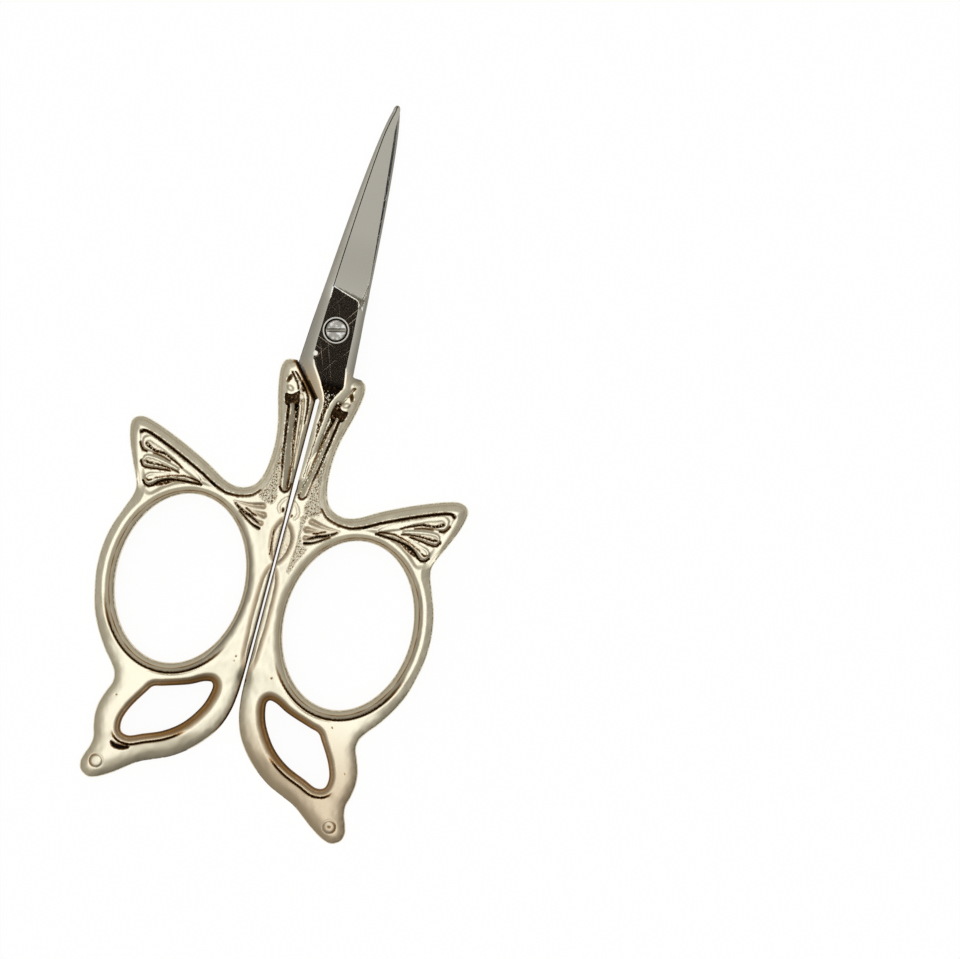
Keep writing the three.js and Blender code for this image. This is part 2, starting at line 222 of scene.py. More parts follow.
grooves = [
    # wing: foot of the upper rim in dark painted shade, running on along the neck's root
    dict(line=[[25.3, -23.05], [24.9, -22.72], [24.1, -22.78], [21.6, -23.65], [18.1, -25.15], [15, -26.6],
               [12.2, -28.1]], width=(0.42, 0.36), depth=(0.3, 0.26), paintedShade=(0.96, 0.98)),
    dict(line=[[12.6, -27.9], [11.2, -28.5], [10, -28.85], [8, -28.8], [6, -28.1], [5, -27.1]],
         width=(0.38, 0.2), depth=(0.26, 0.2), paintedShade=(0.98, 0.75)),
    # wing: bowls of the three petals, wide end first, then the lines of painted shade in them and beside them
    dict(line=[[23.65, -24.5], [22.6, -24.85], [21.3, -25.2], [19.9, -25.75], [17.7, -26.9]],
         width=(1.2, 0.2), depth=(0.14, 0.06), stipple=(0.2, 0)),
    dict(line=[[23.95, -24.6], [23.1, -25.1], [22.2, -25.35], [21.1, -25.4], [19.9, -25.8], [18.5, -26.45],
               [17.7, -26.9]], width=(0.5, 0.15), depth=0.1, paintedShade=(0.97, 0.92), stipple=(0.75, 0)),
    dict(line=[[22.6, -25.75], [21.8, -25.85], [20.8, -26.03], [19.8, -26.3]], width=0.14, depth=0.1,
         paintedShade=0.85),
    dict(line=[[25.03, -24.6], [24.73, -25.21], [24.35, -25.61], [23.74, -25.75]], width=(0.18, 0.26),
         depth=0.2, paintedShade=0.98),
    dict(line=[[23.3, -27.05], [22, -27], [20.6, -27.15], [19, -27.4], [18.1, -27.65]], width=(1.0, 0.16),
         depth=(0.13, 0.06), stipple=(0.2, 0)),
    dict(line=[[23.5, -27.25], [22.7, -27.38], [21.9, -27.3], [20.6, -27.35], [19.05, -27.5],
               [18.1, -27.7]], width=(0.38, 0.14), depth=0.1, paintedShade=(0.95, 0.88), stipple=(0.7, 0)),
    dict(line=[[24.2, -27.38], [23.75, -28.05], [23, -28.2], [21.5, -28], [19.45, -27.76]],
         width=(0.22, 0.2), depth=0.2, paintedShade=(0.98, 0.9)),
    dict(line=[[22.3, -29.6], [21.3, -29.1], [20, -28.65], [18.6, -28.25], [16.5, -28]], width=(0.95, 0.16),
         depth=(0.13, 0.06), stipple=(0.1, 0)),
    dict(line=[[22.75, -29.85], [22.3, -30.05], [21.8, -29.75]], width=0.24, depth=0.1, paintedShade=0.95,
         swell=True),
    dict(line=[[21.4, -29.4], [20.2, -28.9], [18.6, -28.37], [17, -28], [15.8, -28.07], [14.5, -28.3]],
         width=(0.14, 0.26), depth=0.1, paintedShade=(0.5, 0.98), stipple=(1, 0)),
    dict(line=[[23.1, -30.3], [22.5, -30.88], [21.85, -30.85], [21.3, -30.5], [20.7, -29.92],
               [19.7, -29.32], [18.25, -28.95], [16.4, -28.77], [14.2, -28.62]], width=(0.26, 0.3),
         depth=0.25, paintedShade=0.98),
    # fan beside the neck's foot: three flutes with a little painted shade, and the lines of painted shade
    # under them
    dict(line=[[8.6, -29.7], [6.3, -29.7], [3.95, -29.35]], width=(0.3, 1.2), depth=(0.05, 0.19),
         paintedShade=(0.1, 0.2), flute=True),
    dict(line=[[5.7, -30.45], [4.6, -30.6], [3.5, -30.72]], width=(0.3, 1.2), depth=(0.03, 0.21),
         paintedShade=(0.04, 0.22), flute=True),
    dict(line=[[5.2, -31.55], [4.3, -31.85], [3.6, -32.05]], width=(0.3, 1.0), depth=(0.03, 0.18),
         paintedShade=(0.04, 0.22), flute=True),
    dict(line=[[8.25, -30.0], [7.85, -30.33], [7.2, -30.7], [6.3, -31.11], [5.5, -31.36], [4.8, -31.73],
               [4.05, -32.17]], width=0.38, depth=0.2, paintedShade=0.98, swell=True, stipple=0.5),
    dict(line=[[7.3, -31.06], [6.4, -31.66], [5.6, -32.18], [4.8, -32.61], [4.15, -32.8], [3.75, -32.92]],
         width=(0.1, 0.36), depth=(0.15, 0.25), paintedShade=0.98),
    dict(line=[[6.45, -30.37], [5.75, -30.65], [5.28, -30.92], [4.7, -31.02]], width=(0.1, 0.24),
         depth=0.12, paintedShade=(0.8, 0.95)),
    # neck: lines of painted shade beside the raised bar, and round its tip
    dict(line=[[4.1, -13.2], [3.85, -15], [3.6, -16.7], [3.3, -18.8], [2.93, -21.3], [2.58, -22.9]],
         width=(0.38, 0.24), depth=(0.32, 0.2), paintedShade=(0.98, 0.85), stipple=(0.1, 0.8)),
    dict(line=[[2.58, -22.9], [2.35, -24.5], [2.21, -25.85]], width=0.12, depth=0.14, paintedShade=(0.6, 0.4),
         stipple=0.6),
    dict(line=[[2.85, -13], [2.6, -14.3], [2.35, -16], [1.95, -18.5], [1.5, -20.8]], width=(0.66, 0.16),
         depth=(0.35, 0.18), paintedShade=(0.98, 0.6), stipple=(0.45, 1), over=True),
    dict(line=[[1.5, -20.8], [1.33, -22.8], [1.18, -24.25], [1.12, -25.8]], width=(0.1, 0.22), depth=0.15,
         paintedShade=(0.5, 0.97), over=True),
    dict(line=[[3.28, -12.8], [2.7, -15.65], [2.27, -18.2], [1.8, -21.1], [1.55, -22.7]], width=(0.5, 0.1),
         depth=(0.35, 0.1), paintedShade=(0.98, 0.4), stipple=(0.3, 0.6), open=True),
    dict(line=[[2.2, -25.85], [1.82, -26.29], [1.29, -26.4], [0.85, -26.02], [0.68, -25.47],
               [0.62, -24.96]], width=(0.28, 0.16), depth=0.22, paintedShade=0.98, over=True),
    dict(line=[[2.05, -25.95], [1.65, -26.35], [1.2, -26.3], [0.92, -25.8]], width=0.2, depth=0.2,
         paintedShade=(0.8, 0.95), open=True),
    dict(line=[[2.9, -9.3], [2.19, -10.15], [1.58, -11.1], [1.25, -12.4], [1.12, -13.7], [1.0, -15.2]],
         width=(0.3, 0.12), depth=(0.25, 0.12), paintedShade=(0.98, 0.92), over=True),
    dict(line=[[2.15, -11.8], [1.81, -13.65], [1.5, -16.6], [1.2, -19.6], [0.95, -22.5]],
         width=(0.66, 0.44), depth=(0.13, 0.09), paintedShade=(0.2, 0.16), flute=True, over=True),
    dict(line=[[1.08, -17.6], [1.02, -19.5], [0.9, -22.9]], width=0.1, depth=0.08, paintedShade=(0.85, 0.4),
         stipple=0.4, open=True),
    # horn: lines of painted shade behind the dimpled knob
    dict(line=[[4.92, -7.95], [4.3, -8.7], [3.7, -9.5], [3.3, -10.3]], width=(0.16, 0.12), depth=0.2,
         paintedShade=0.95, over=True),
    dict(line=[[4.35, -7.85], [3.6, -8.6], [2.97, -9.3], [2.5, -10.4]], width=(0.16, 0.34), depth=0.2,
         paintedShade=(0.95, 0.8), stipple=(0, 0.9), over=True),
    dict(line=[[5.2, -7.6], [4.5, -8.7], [3.9, -9.9], [3.3, -11.3]], width=(0.3, 0.42), depth=0.25,
         paintedShade=0.98, stipple=(0.7, 0.4), open=True),
    # body: collar of the head, seam of the thorax, with painted shade in them
    dict(line=[[0.4, -27.15], [0.65, -27.2], [1.16, -27.7], [1.54, -28.45], [1.55, -29.1], [1.25, -29.6]],
         width=0.5, depth=0.07, paintedShade=0.08),
    dict(line=[[1.4, -32.6], [1.25, -34.4], [1.1, -36.4]], width=0.12, depth=0.08, paintedShade=0.85, stipple=0.8,
         over=True),
    # hindwing hole: black painted shade in the corner at the foot of its lower lip
    dict(line=[[17.6, -70.9], [16.9, -71.35], [15.6, -71.4], [14.6, -71.1]], width=(0.95, 0.7), depth=0.22,
         paintedShade=0.98, swell=True, over=True),
]

# areas sunk below, or standing above, what is round them; slant: where a tilt starts, its way and slope;
# paintedShade paints shade into them, shade onto their walls
pads = [
    dict(rim=[[9.6, -29.2], [12, -27.9], [15, -26.4], [20, -23.95], [25.1, -22.3], [25.95, -22.9],
              [25.6, -25.2], [24.8, -27.7], [23.6, -31.6], [20, -33], [14, -32]], sink=0.22, wall=1.1,
         clearRing=True),
    dict(rim=[[24.95, -24.6], [24.93, -23.72], [24.28, -23.13], [23.3, -23.06], [20.7, -24.2], [16.7, -26],
              [15.2, -26.85], [14.2, -27.75], [14.3, -28.5], [16.3, -27.8], [17.6, -27.3], [19.7, -26.3],
              [21.5, -25.9], [23.9, -25.73], [24.6, -25.4]], sink=-0.17, wall=0.55),
    dict(rim=[[24.15, -27.4], [24.1, -26.6], [23.6, -26.07], [22.8, -25.95], [19.7, -26.4], [17.9, -27.1],
              [18.2, -27.65], [19.5, -27.75], [21.5, -27.95], [23, -28.12], [23.7, -28.02]], sink=-0.17,
         wall=0.5),
    dict(rim=[[23.1, -30.2], [23.1, -29.33], [22.55, -28.73], [21.7, -28.5], [19.6, -28.05], [17, -27.73],
              [15.8, -27.95], [14.3, -28.5], [16.4, -28.68], [18.3, -28.87], [19.7, -29.22], [20.7, -29.83],
              [21.5, -30.5], [22.3, -30.82]], sink=-0.17, wall=0.5),
    dict(rim=[[21.5, -30.75], [20.7, -29.95], [19.7, -29.35], [18, -28.95], [19, -29.9], [20.2, -30.5]],
         sink=0, wall=0.3, paintedShade=0.75, stipple=1),
    dict(rim=[[8.95, -29.8], [6.3, -29.5], [4, -28.9], [3.45, -29.5], [3.7, -29.95], [3.1, -30.6],
              [3.1, -31.3], [3.4, -31.6], [3.25, -32.1], [3.6, -33], [4.8, -32.7], [6.4, -31.75],
              [7.6, -30.9]], sink=0.05, wall=0.6, paintedShade=0.09),
    dict(rim=[[5.1, -11.4], [4.2, -11.35], [3.5, -10.85], [3.05, -10.5], [2.75, -11.6], [2.6, -12.8],
              [2.9, -13.5], [3.4, -12.8], [3.8, -12.75], [4.15, -13.3], [4.6, -13.2], [4.95, -12.6]],
         sink=0.45, wall=0.22, paintedShade=0.86, stipple=0.1),
    dict(rim=[[4.2, -8.6], [3.4, -8.8], [2.3, -10.6], [1.9, -12.2], [2.4, -12.8], [3.3, -10.6]], sink=0.12,
         wall=0.4, stipple=0.5, over=True),
    dict(rim=[[3.35, -19.5], [3.75, -19.5], [3.85, -22], [4.05, -24.5], [4.4, -26], [5.3, -27.6],
              [4.6, -28.6], [2.7, -29], [2.0, -27.4], [2.3, -26.2], [2.4, -25], [2.65, -23]], sink=0.06,
         wall=0.5, stipple=1),
    dict(rim=[[3.7, -28], [3.3, -29.6], [3.1, -31.5], [3.6, -33.2], [4.5, -33.6], [4.3, -34.6],
              [3.5, -36.3], [2.75, -38.3], [2.1, -38], [2.2, -36], [2.4, -33.5], [2.3, -31], [2, -29]],
         sink=0.03, wall=0.45, stipple=0.9, open=True),
    dict(rim=[[4.05, -12.7], [3.85, -14.6], [3.55, -16.7], [3.25, -18.8], [2.88, -21.3], [2.5, -23],
              [2.15, -25.6], [1.7, -26.2], [1.2, -26.2], [1.05, -25.5], [1.25, -23], [1.5, -21],
              [2.05, -18.5], [2.45, -16], [2.8, -14], [3, -12.7]], sink=0, wall=0.2,
         slant=((4.1, -13.3), (-0.984, 0.178), 0.37), over=True),
    dict(rim=[[4, -12.9], [3.8, -15], [3.5, -16.9], [3.2, -19], [2.85, -21.4], [2.5, -23], [2.15, -25.6],
              [1.7, -26.2], [1.2, -26.2], [1.05, -25.5], [1.3, -23.8], [1.7, -22.5], [1.95, -21.1],
              [2.42, -18.2], [2.85, -15.65], [3.4, -12.9]], sink=0, wall=0.2,
         slant=((4.1, -13.3), (-0.984, 0.178), 0.37), open=True),
    dict(rim=[[-1.5, -29.6], [0.3, -29.65], [1, -30.05], [1.75, -31.1], [2.25, -32.7], [2.2, -34.4],
              [1.75, -36.2], [0.95, -37.5], [0.2, -37.8], [-1.5, -37.8]], sink=-0.33, wall=1.15,
         hollowed=True, paintedShade=0.08, stipple=0.2, shade=0.14, over=True),  # thorax
    dict(rim=[[-1.5, -29.6], [0.3, -29.65], [1, -30], [1.95, -31], [2.55, -32.7], [2.5, -34.4], [2, -36.2],
              [1.05, -37.5], [0.2, -37.8], [-1.5, -37.8]], sink=-0.33, wall=1.15, hollowed=True, paintedShade=0.08,
         stipple=0.2, shade=0.14, open=True),
    dict(rim=[[-1.5, -36.9], [0.3, -36.95], [0.8, -37.4], [1.45, -38.3], [1.95, -39.9], [2.05, -41.7],
              [2.08, -43.5], [2.12, -45.4], [2.12, -47.3], [2.04, -49.2], [1.95, -51], [1.75, -53],
              [1.3, -54.6], [0.75, -55.8], [0.2, -56.6], [-1.5, -56.6]], sink=-0.32, wall=1.15,
         hollowed=True, paintedShade=0.03, stipple=0.07, shade=0.17),  # abdomen
]

bowls = [  # rounded hollows and, with a depth below nothing, knobs: centre, length, width, turn in degrees; paintedShade paints shade into the hollows
    dict(centre=(5.07, -9.05), length=1.6, width=0.62, turn=108, depth=0.3, paintedShade=0.9),
    dict(centre=(4.55, -10.5), length=1.3, width=0.9, turn=30, depth=-0.14, paintedShade=0),
    dict(centre=(0.82, -29.2), length=0.9, width=0.4, turn=84, depth=0.2, paintedShade=1, over=True),
    dict(centre=(0.7, -29.3), length=0.6, width=0.3, turn=60, depth=0.15, paintedShade=0.8, open=True),
    dict(centre=(18.75, -74.75), length=0.5, width=0.4, turn=20, depth=0.16, paintedShade=0.5, open=True),
    dict(centre=(2.07, -53.1), length=0.4, width=0.2, turn=90, depth=0.08, paintedShade=0.9, over=True),
    dict(centre=(2.2, -53.9), length=0.26, width=0.16, turn=80, depth=0.06, paintedShade=0.8, over=True),
    dict(centre=(18.6, -63.65), length=0.3, width=0.24, turn=40, depth=0.08, paintedShade=0.9, over=True),
    dict(centre=(4.14, -54.6), length=0.38, width=0.28, turn=30, depth=0.08, paintedShade=0.9, open=True),
    dict(centre=(15.3, -59.6), length=0.36, width=0.24, turn=150, depth=0.08, paintedShade=0.85, open=True),
    dict(centre=(19, -66.1), length=0.26, width=0.2, turn=100, depth=0.06, paintedShade=0.8, open=True),
]

reliefSizes = dict(
    rimDrop=0.72, rimWidth=2.2,  # fall of the rounded limbs to the outer edge, and its usual width
    wingRim=1.55, neckRim=0.05,  # widest reach of that fall round the wing, and what neck and horn have more
    limb=(1.6, 1.4),  # its reach on the lower limbs, and what it gains straight below
    wingRound=1.05, limbRound=1.9,  # power of that fall: near 1 is a plain bevel
    lip=(0.83, 0.53), lipSlope=0.36,  # bead round the finger hole, hole to crest: at its widest and narrowest
    beadDrop=0.24, beadReach=0.65, beadFoot=0.45,  # its outer side, and the flat left beside it
    bodyBead=(0.12, 0.65),  # drop and reach that the outer side gains towards the body
    hindMiddle=(10.8, -64.4),
    hindLip=1.15, hindLipDrop=0.46, hindGain=0.5,  # lip of the hindwing hole, and its gain towards the body
    hindGroove=0.05,  # fine groove on that lip
    brokenEdge=0.14, brokenDrop=0.24,  # the sharp corner taken off every edge
    ringStep=0.3, ringFoot=(1.36, 1.68),  # the finger ring stands proud of the lower plate
    hindStep=0.22, hindFoot=(1.15, 1.5),  # so does the lower lip of the hindwing hole
    ringSides=((-15, -45), (-150, -122)), hindSides=((-32, -45), (-165, -125)),  # bearings where they fade in
    lower=(-50, -57), bodyFrom=(105, 150),  # start of the lower limbs by height, of the body by bearing
    bridge=0.16,  # swell of the bridge between the two holes
    bodyTilt=0.1,  # the plate falls from the ring towards the body
    grain=0.033, grainSize=0.36,  # stippled ground
    dot=(19.05, -74.45), openDot=(18.75, -74.72), dotWall=(0.75, 1.0), dotHeight=0.09, dotGroove=0.04,
    lump=0.018, lumpSize=4.5, ripple=0.004, rippleSize=1.1,  # marks of finishing by hand
    border=0.035, borderSize=0.45,  # casting leaves the borders of the forms a little uneven
    easing=70,  # rounds of evening out on the lower limbs
    deepest=1.7,
)
paintedShades = dict(  # how dark each mark is, 1 is black; steps, dot, notch, crotch, edges, hindEdge, hindLip and ringWall are painted shade, plate and darkerBelow darken the plate, beadLine and rimLine draw darker fine lines; of a pair the first is for the face over the other shank
    steps=0.95, dot=0.7, notch=0.8, crotch=0.92, edges=(0.95, 0.6), darkerBelow=(0.05, 0.2),
    hindEdge=0.8, hindLip=0.5,  # painted shade, golden brown
    plate=0.025, ringWall=0.12, beadLine=0.66, rimLine=0.22,
)


def beadCrest(bearings):  # from the finger hole to the crest of its bead; the body and the neck get less
    wide, narrow = reliefSizes["lip"]
    return wide + (narrow - wide) * np.maximum(ramp(30, 75, bearings), ramp(-115, -150, bearings))


def eased(values, links, weights, hold, rounds):  # values evened out over the net, but kept where hold is 1
    start, end = links.T
    total = np.maximum(np.bincount(start, weights, len(values)), 1e-6)
    for k in range(rounds):
        around = np.bincount(start, values[end] * weights, len(values)) / total
        values = values + (around - values) * (1 - hold)
    return values


def fineLine(gap, middle, reach):  # 1 on a line beside an edge, fading to both sides
    return np.exp(-((gap - middle) / reach) ** 2)


def fall(gap, width, drop, power):  # rounding towards an edge
    broken = np.clip(1 - gap / reliefSizes["brokenEdge"], 0, 1) ** 2
    return drop * np.clip(1 - gap / width, 0, 1) ** power + reliefSizes["brokenDrop"] * broken


def drawn(forms, over):  # those forms that a face has
    return [form for form in forms if not form.get("open" if over else "over")]


def cutForms(points, finger, over, depth, paintedShade, stipple):  # adds pads, grooves and bowls, with the painted shade in them, to the three values
    rough = reliefSizes["border"] * lumps(points, reliefSizes["borderSize"], 5)
    for pad in drawn(pads, over):
        rim = smoothLine(pad["rim"], closed=True)
        gap = measure(points, closedLine(rim), pad["wall"] * 2)[0]
        gap = np.where(inside(points, rim), gap, -gap)
        share = ramp(0, pad["wall"], gap + rough * (pad["wall"] < 0.3))
        if pad.get("hollowed"):  # wall with a soft foot and a sharp crest
            share = np.clip(gap / pad["wall"], 0, 1) ** 2
        if pad.get("clearRing"):
            share = share * ramp(1.5, 2.3, finger)
        depth += pad["sink"] * share
        if pad.get("slant"):
            start, way, slope = pad["slant"]
            depth += share * slope * np.maximum((points - start) @ way, 0)
        shade = pad.get("shade", 0) * np.clip(6 * share * (1 - share), 0, 1)
        np.maximum(paintedShade, pad.get("paintedShade", 0) * share + shade, out=paintedShade)
        np.maximum(stipple, pad.get("stipple", 0) * share, out=stipple)
    for groove in drawn(grooves, over):
        gap, along = measure(points, smoothLine(groove["line"], spacing=0.15), 1)
        half = mixed(groove["width"], along) / 2
        if groove.get("swell"):
            half = half * np.sqrt(np.sin(np.pi * np.clip(along, 0.002, 0.998)))
        share = 1 - ramp(half * 0.3, half + 0.12, gap + rough)
        if groove.get("flute"):  # two plain slopes
            share = np.clip(1 - gap / half, 0, 1)
        depth += mixed(groove["depth"], along) * share
        # painted shade fills the groove
        filled = 1 - ramp(half * 0.6, half + 0.09, gap + rough)
        np.maximum(paintedShade, mixed(groove.get("paintedShade", 0), along) * filled, out=paintedShade)
        np.maximum(stipple, mixed(groove.get("stipple", 0), along) * share, out=stipple)
    for bowl in drawn(bowls, over):
        turn = math.radians(bowl["turn"])
        away = points - bowl["centre"]
        x = (away @ [math.cos(turn), math.sin(turn)]) / (bowl["length"] / 2)
        y = (away @ [-math.sin(turn), math.cos(turn)]) / (bowl["width"] / 2)
        share = np.clip(1 - x * x - y * y, 0, 1)
        depth += bowl["depth"] * share
        np.maximum(paintedShade, bowl["paintedShade"] * np.sqrt(share), out=paintedShade)


# depth, painted shade and stipple of a handle face; over: the face that lies over the other half's shank
def relief(points, links, weights, over):
    size, shades = reliefSizes, paintedShades
    face = 0 if over else 1
    x, y = points.T
    outer = measure(points, outerEdge, 4)[0]
    finger = measure(points, closedLine(fingerLoop), 7)[0]
    hind = measure(points, closedLine(hindLoop), 4)[0]
    split = measure(points, splitEdge, 1)[0]
    neck = measure(points, neckEdge, 1.5)[0]
    notch = measure(points, notchEdge, 1.5)[0]
    aroundFinger = bearing(points, **hole)
    aroundHind = bearing(points, size["hindMiddle"])
    depth, paintedShade, stipple = np.zeros((3, len(points)))

    def darken(amount):
        np.maximum(paintedShade, amount, out=paintedShade)

    # broad form: rounded limbs, plate tilted to the body, bridge between finger hole and hindwing hole
    lower = ramp(*size["lower"], y)
    line = beadCrest(aroundFinger)
    bodySide = ramp(*size["bodyFrom"], np.abs(aroundFinger))
    bodyDrop, bodyReach = size["bodyBead"]
    beadReach = size["beadReach"] + bodyReach * bodySide
    beadEnd = line + beadReach
    crest = np.maximum(finger - beadEnd - size["beadFoot"], 0)
    crest = np.minimum(crest, np.maximum(hind - size["hindLip"], 0))
    least, gain = size["limb"]
    limb = least + gain * (0.5 + 0.5 * np.cos(np.radians(aroundHind + 100))) ** 4
    widest = size["wingRim"] + size["neckRim"] * ramp(-26, -21, y) + (limb - size["wingRim"]) * lower
    width = np.clip(outer + crest, 0.6, widest)
    share = width / size["rimWidth"]
    power = size["wingRound"] + (size["limbRound"] - size["wingRound"]) * lower
    form = fall(outer, width, size["rimDrop"] * np.minimum(share, share ** 0.6), power)
    fromRing, fromHind = np.maximum(finger - 1.8, 0), np.maximum(hind - 0.95, 0)
    bridge = fromRing / (fromRing + fromHind + 0.05)
    form -= size["bridge"] * 4 * bridge * (1 - bridge) * (1 - ramp(2.5, 4, finger)) * (1 - ramp(2, 3.6, hind))
    form += size["bodyTilt"] * ramp(100, 140, np.abs(aroundFinger)) * np.clip(finger - beadEnd, 0, 4.5)
    edge = np.minimum(np.minimum(outer, split), np.minimum(finger - 1.9, hind - 0.9))
    hold = np.maximum(1 - ramp(0.1, 0.6, edge), ramp(-56, -51, y))
    form = eased(form, links, weights, hold, size["easing"])

    # steps at the foot of the ring and of the lower hindwing lip, with painted shade in them
    bead = np.clip((finger - line) / beadReach, 0, 1)
    depth += (size["beadDrop"] + bodyDrop * bodySide) * (1 - (1 - bead) ** (1 + bodySide))
    depth += size["hindGroove"] * fineLine(hind, 0.55, 0.09)
    for part, gap, around in (("ring", finger, aroundFinger), ("hind", hind, aroundHind)):
        right, left = size[part + "Sides"]
        share = ramp(*right, around) * ramp(*left, around)
        start, end = size[part + "Foot"]
        depth += size[part + "Step"] * share * np.clip((gap - start) / (end - start), 0, 1)
        wall = ramp(start - 0.03, start + 0.05, gap) * (1 - ramp(end - 0.03, end + 0.08, gap))
        darken(shades["steps"] * share * wall)

    cutForms(points, finger, over, depth, paintedShade, stipple)
    dot = np.hypot(*(points - size["dot" if over else "openDot"]).T)
    depth -= size["dotHeight"] * (1 - ramp(*size["dotWall"], dot))
    shadedSide = 0.25 + 0.75 * ramp(-0.2, 0.7, x - size["dot"][0])  # the painted shade round the dot is darker on its outer side
    darken(shades["dot"] * shadedSide * fineLine(dot, 1.02, 0.1))
    depth += size["dotGroove"] * fineLine(dot, 1.04, 0.12)

    # all together, with the lips of the holes and the worn inner edges
    inland = ramp(0.8, 2.0, np.minimum(outer, np.minimum(finger, hind)))
    depth += (size["lump"] * lumps(points, size["lumpSize"], 3) * inland
              + size["ripple"] * lumps(points, size["rippleSize"], 4))
    depth += stipple * size["grain"] * lumps(points, size["grainSize"], 6)
    depth = np.maximum(depth + form, 0)
    depth += fall(finger, line, size["lipSlope"] * line, 1.1)
    hindLip = size["hindLip"] + size["hindGain"] * ramp(100, 150, np.abs(aroundHind))
    depth += fall(hind, hindLip, size["hindLipDrop"] * hindLip / size["hindLip"], 1.35)
    below = ramp(-48, -55, y)
    depth += fall(split, 0.4 + 0.5 * below, 0.12 + 0.16 * below, 1.2)
    wider = (not over) * ramp(-15, -18, y)
    depth += fall(neck, 0.75 + 0.35 * wider, 0.26 + 0.12 * wider, 1.05)
    if over:
        depth = np.maximum(depth, fall(notch, 0.75, 1.0, 1.5))
        # painted shade on the notch's slope down to the other half's shank
        darken(shades["notch"] * (1 - ramp(0.4, 0.62, notch)) * ramp(5.6, 4.8, x))
    else:
        depth += 0.3 * (1 - ramp(0, 0.9, notch))

    # painted shade along the inner edges, near the crotch and at the finger hole's edge, golden brown round
    # the hindwing hole; the plate a little darker inside and darker towards the bottom; darker fine lines on
    # the beads and along the rim
    edgeShade = shades["edges"][face]
    darken(edgeShade * (1 - ramp(0.05, 0.2 + 0.12 * below * over, split)))
    darken(edgeShade * (1 - ramp(0.05, 0.2 + 0.2 * ramp(-17, -11.5, y) * over, neck)))
    crotch = over * ramp(-67, -63, y) * ramp(-54, -57, y) * ramp(6, 4, x)
    darken(shades["crotch"] * crotch * (1 - ramp(0.1, 0.45, outer)))
    brown = shades["hindEdge"] * (1 - ramp(0.05, 0.5, hind))
    brown = np.maximum(brown, shades["hindLip"] * (1 - ramp(0.4, hindLip + 0.25, hind)))
    darken((0.72 + 0.28 * ramp(40, 110, np.abs(aroundHind))) * brown)  # most on the side of the body
    darken(shades["plate"] * ramp(1.0, 2.0, outer))
    darken(shades["darkerBelow"][face] * ramp(-55, -70, y))
    darken(shades["ringWall"] * (1 - ramp(0.1, 0.6, finger)))
    uneven = 0.8 + 0.25 * lumps(points, 3.0, 7)
    darken((shades["beadLine"] - 0.4 * bodySide) * uneven * fineLine(finger, line, 0.08))
    darken(shades["rimLine"] * fineLine(outer, 0.6, 0.09) * ramp(-33, -30, y))
    return np.clip(depth, 0, size["deepest"]), paintedShade, stipple


# blade and shank: forged in one with the handle

blade = dict(
    length=36.4, heelY=6.0, heelTop=6.5,
    lean=0.36,  # the points close this far to the right
    tipWidth=1.1, tipRound=0.9, tipLeast=0.3, tipStrip=0.4,  # blunt, rounded points
    spineHalf=3.55, spinePower=0.55,  # swelling taper of the back of the blade
    edgeHalf=3.3, edgePower=0.88,
    strip=1.25, stripPower=0.64, stripSlope=(0.21, 0.34),  # bevel along the spine, steeper to the outside
    land=0.15,  # flat left between the bevel and the ground facet
    crestShare=0.36, landShare=0.3,  # most that bevel and land take of the width near the point
    facetSlope=0.255,
    edgeLand=0.2,  # height of the cutting edge over the inner face
    heelLand=0.39, heelFade=16,  # what the heel has more, and where that ends
    innerChamfer=0.3, chamferSlope=0.33,  # bevel of the inner face along the spine
)
shank = dict(
    flat=[
        [-2.05, 6.5], [1.9, 5.35], [2.3, 5.1], [2.46, 4.6], [2.62, 2.5], [2.8, 0], [2.95, -3.5], [3.05, -5.5],
        [3.35, -7.4], [3.45, -8.3], [2.9, -9.46], [2.32, -10.4], [2, -11.35], [1.76, -12.3], [1.71, -13.2],
        [1.58, -14.6], [1.42, -16], [1.34, -17], [1.14, -20], [0.95, -23.4], [0.88, -23.4], [1.02, -20],
        [1.18, -17], [1.12, -16], [0.98, -14.6], [1.08, -13.2], [1.2, -12.2], [1.05, -11.1], [0.6, -9.9],
        [-0.45, -8.1], [-1.75, -6.2], [-2.3, -5.1], [-2.42, -4.2], [-2.42, -2], [-2.2, 4],
    ],
    cornerSpine=[-4.3, -5.7], backSlope=0.057, crotch=[0.31, -11.3],
    bevelSlope=(0.24, 0.42), bevelReach=1.6,  # fall of the bevels beside the flat, steeper to the outside
    ricassoSlope=3.2, heelEdge=0.14, heelSlope=0.12,  # short wall from the flat down to the blade's facet
    heelFrom=(5.2, 6.6), heelTilt=0.3, heelSides=((-2.15, -1.9), (2.3, 3.2)),  # where that wall stands
    fillet=0.4,  # round at its foot
    edgeSoft=0.24, softSlope=0.1, softFrom=(-4.9, -6.2),  # worn edge of the flat towards the handle
    plateFrom=-8.8,  # the gold plate begins here on the flat
    plateFade=(-4.6, -8.6), gripFade=(-5.2, -7.5),  # and fades in here beside it, and on the neck
    ribbonEdge=(0.8, 1.0), ribbonFrom=(-10.5, -11.5), ribbonEnd=(-15.5, -22.5),  # its end in the handle
    ribbonDrop=(0.6, 0.7),  # its fall at the sides and at the end
    edgeSide=[[3.42, 6.45], [3.62, 5.1], [4.03, 0], [4.42, -6.3]],  # side of the cutting edge
    boreMouth=2.07, bore=1.86, boreFloor=2.97, throughHole=1.33, tapped=1.08, boreBevel=0.2,
    chip=dict(centre=(-2.2, -4.25), radius=0.33, depth=0.03),
)
flatLoop = np.array(shank["flat"])


def onFlat(points):
    return inside(points, flatLoop)


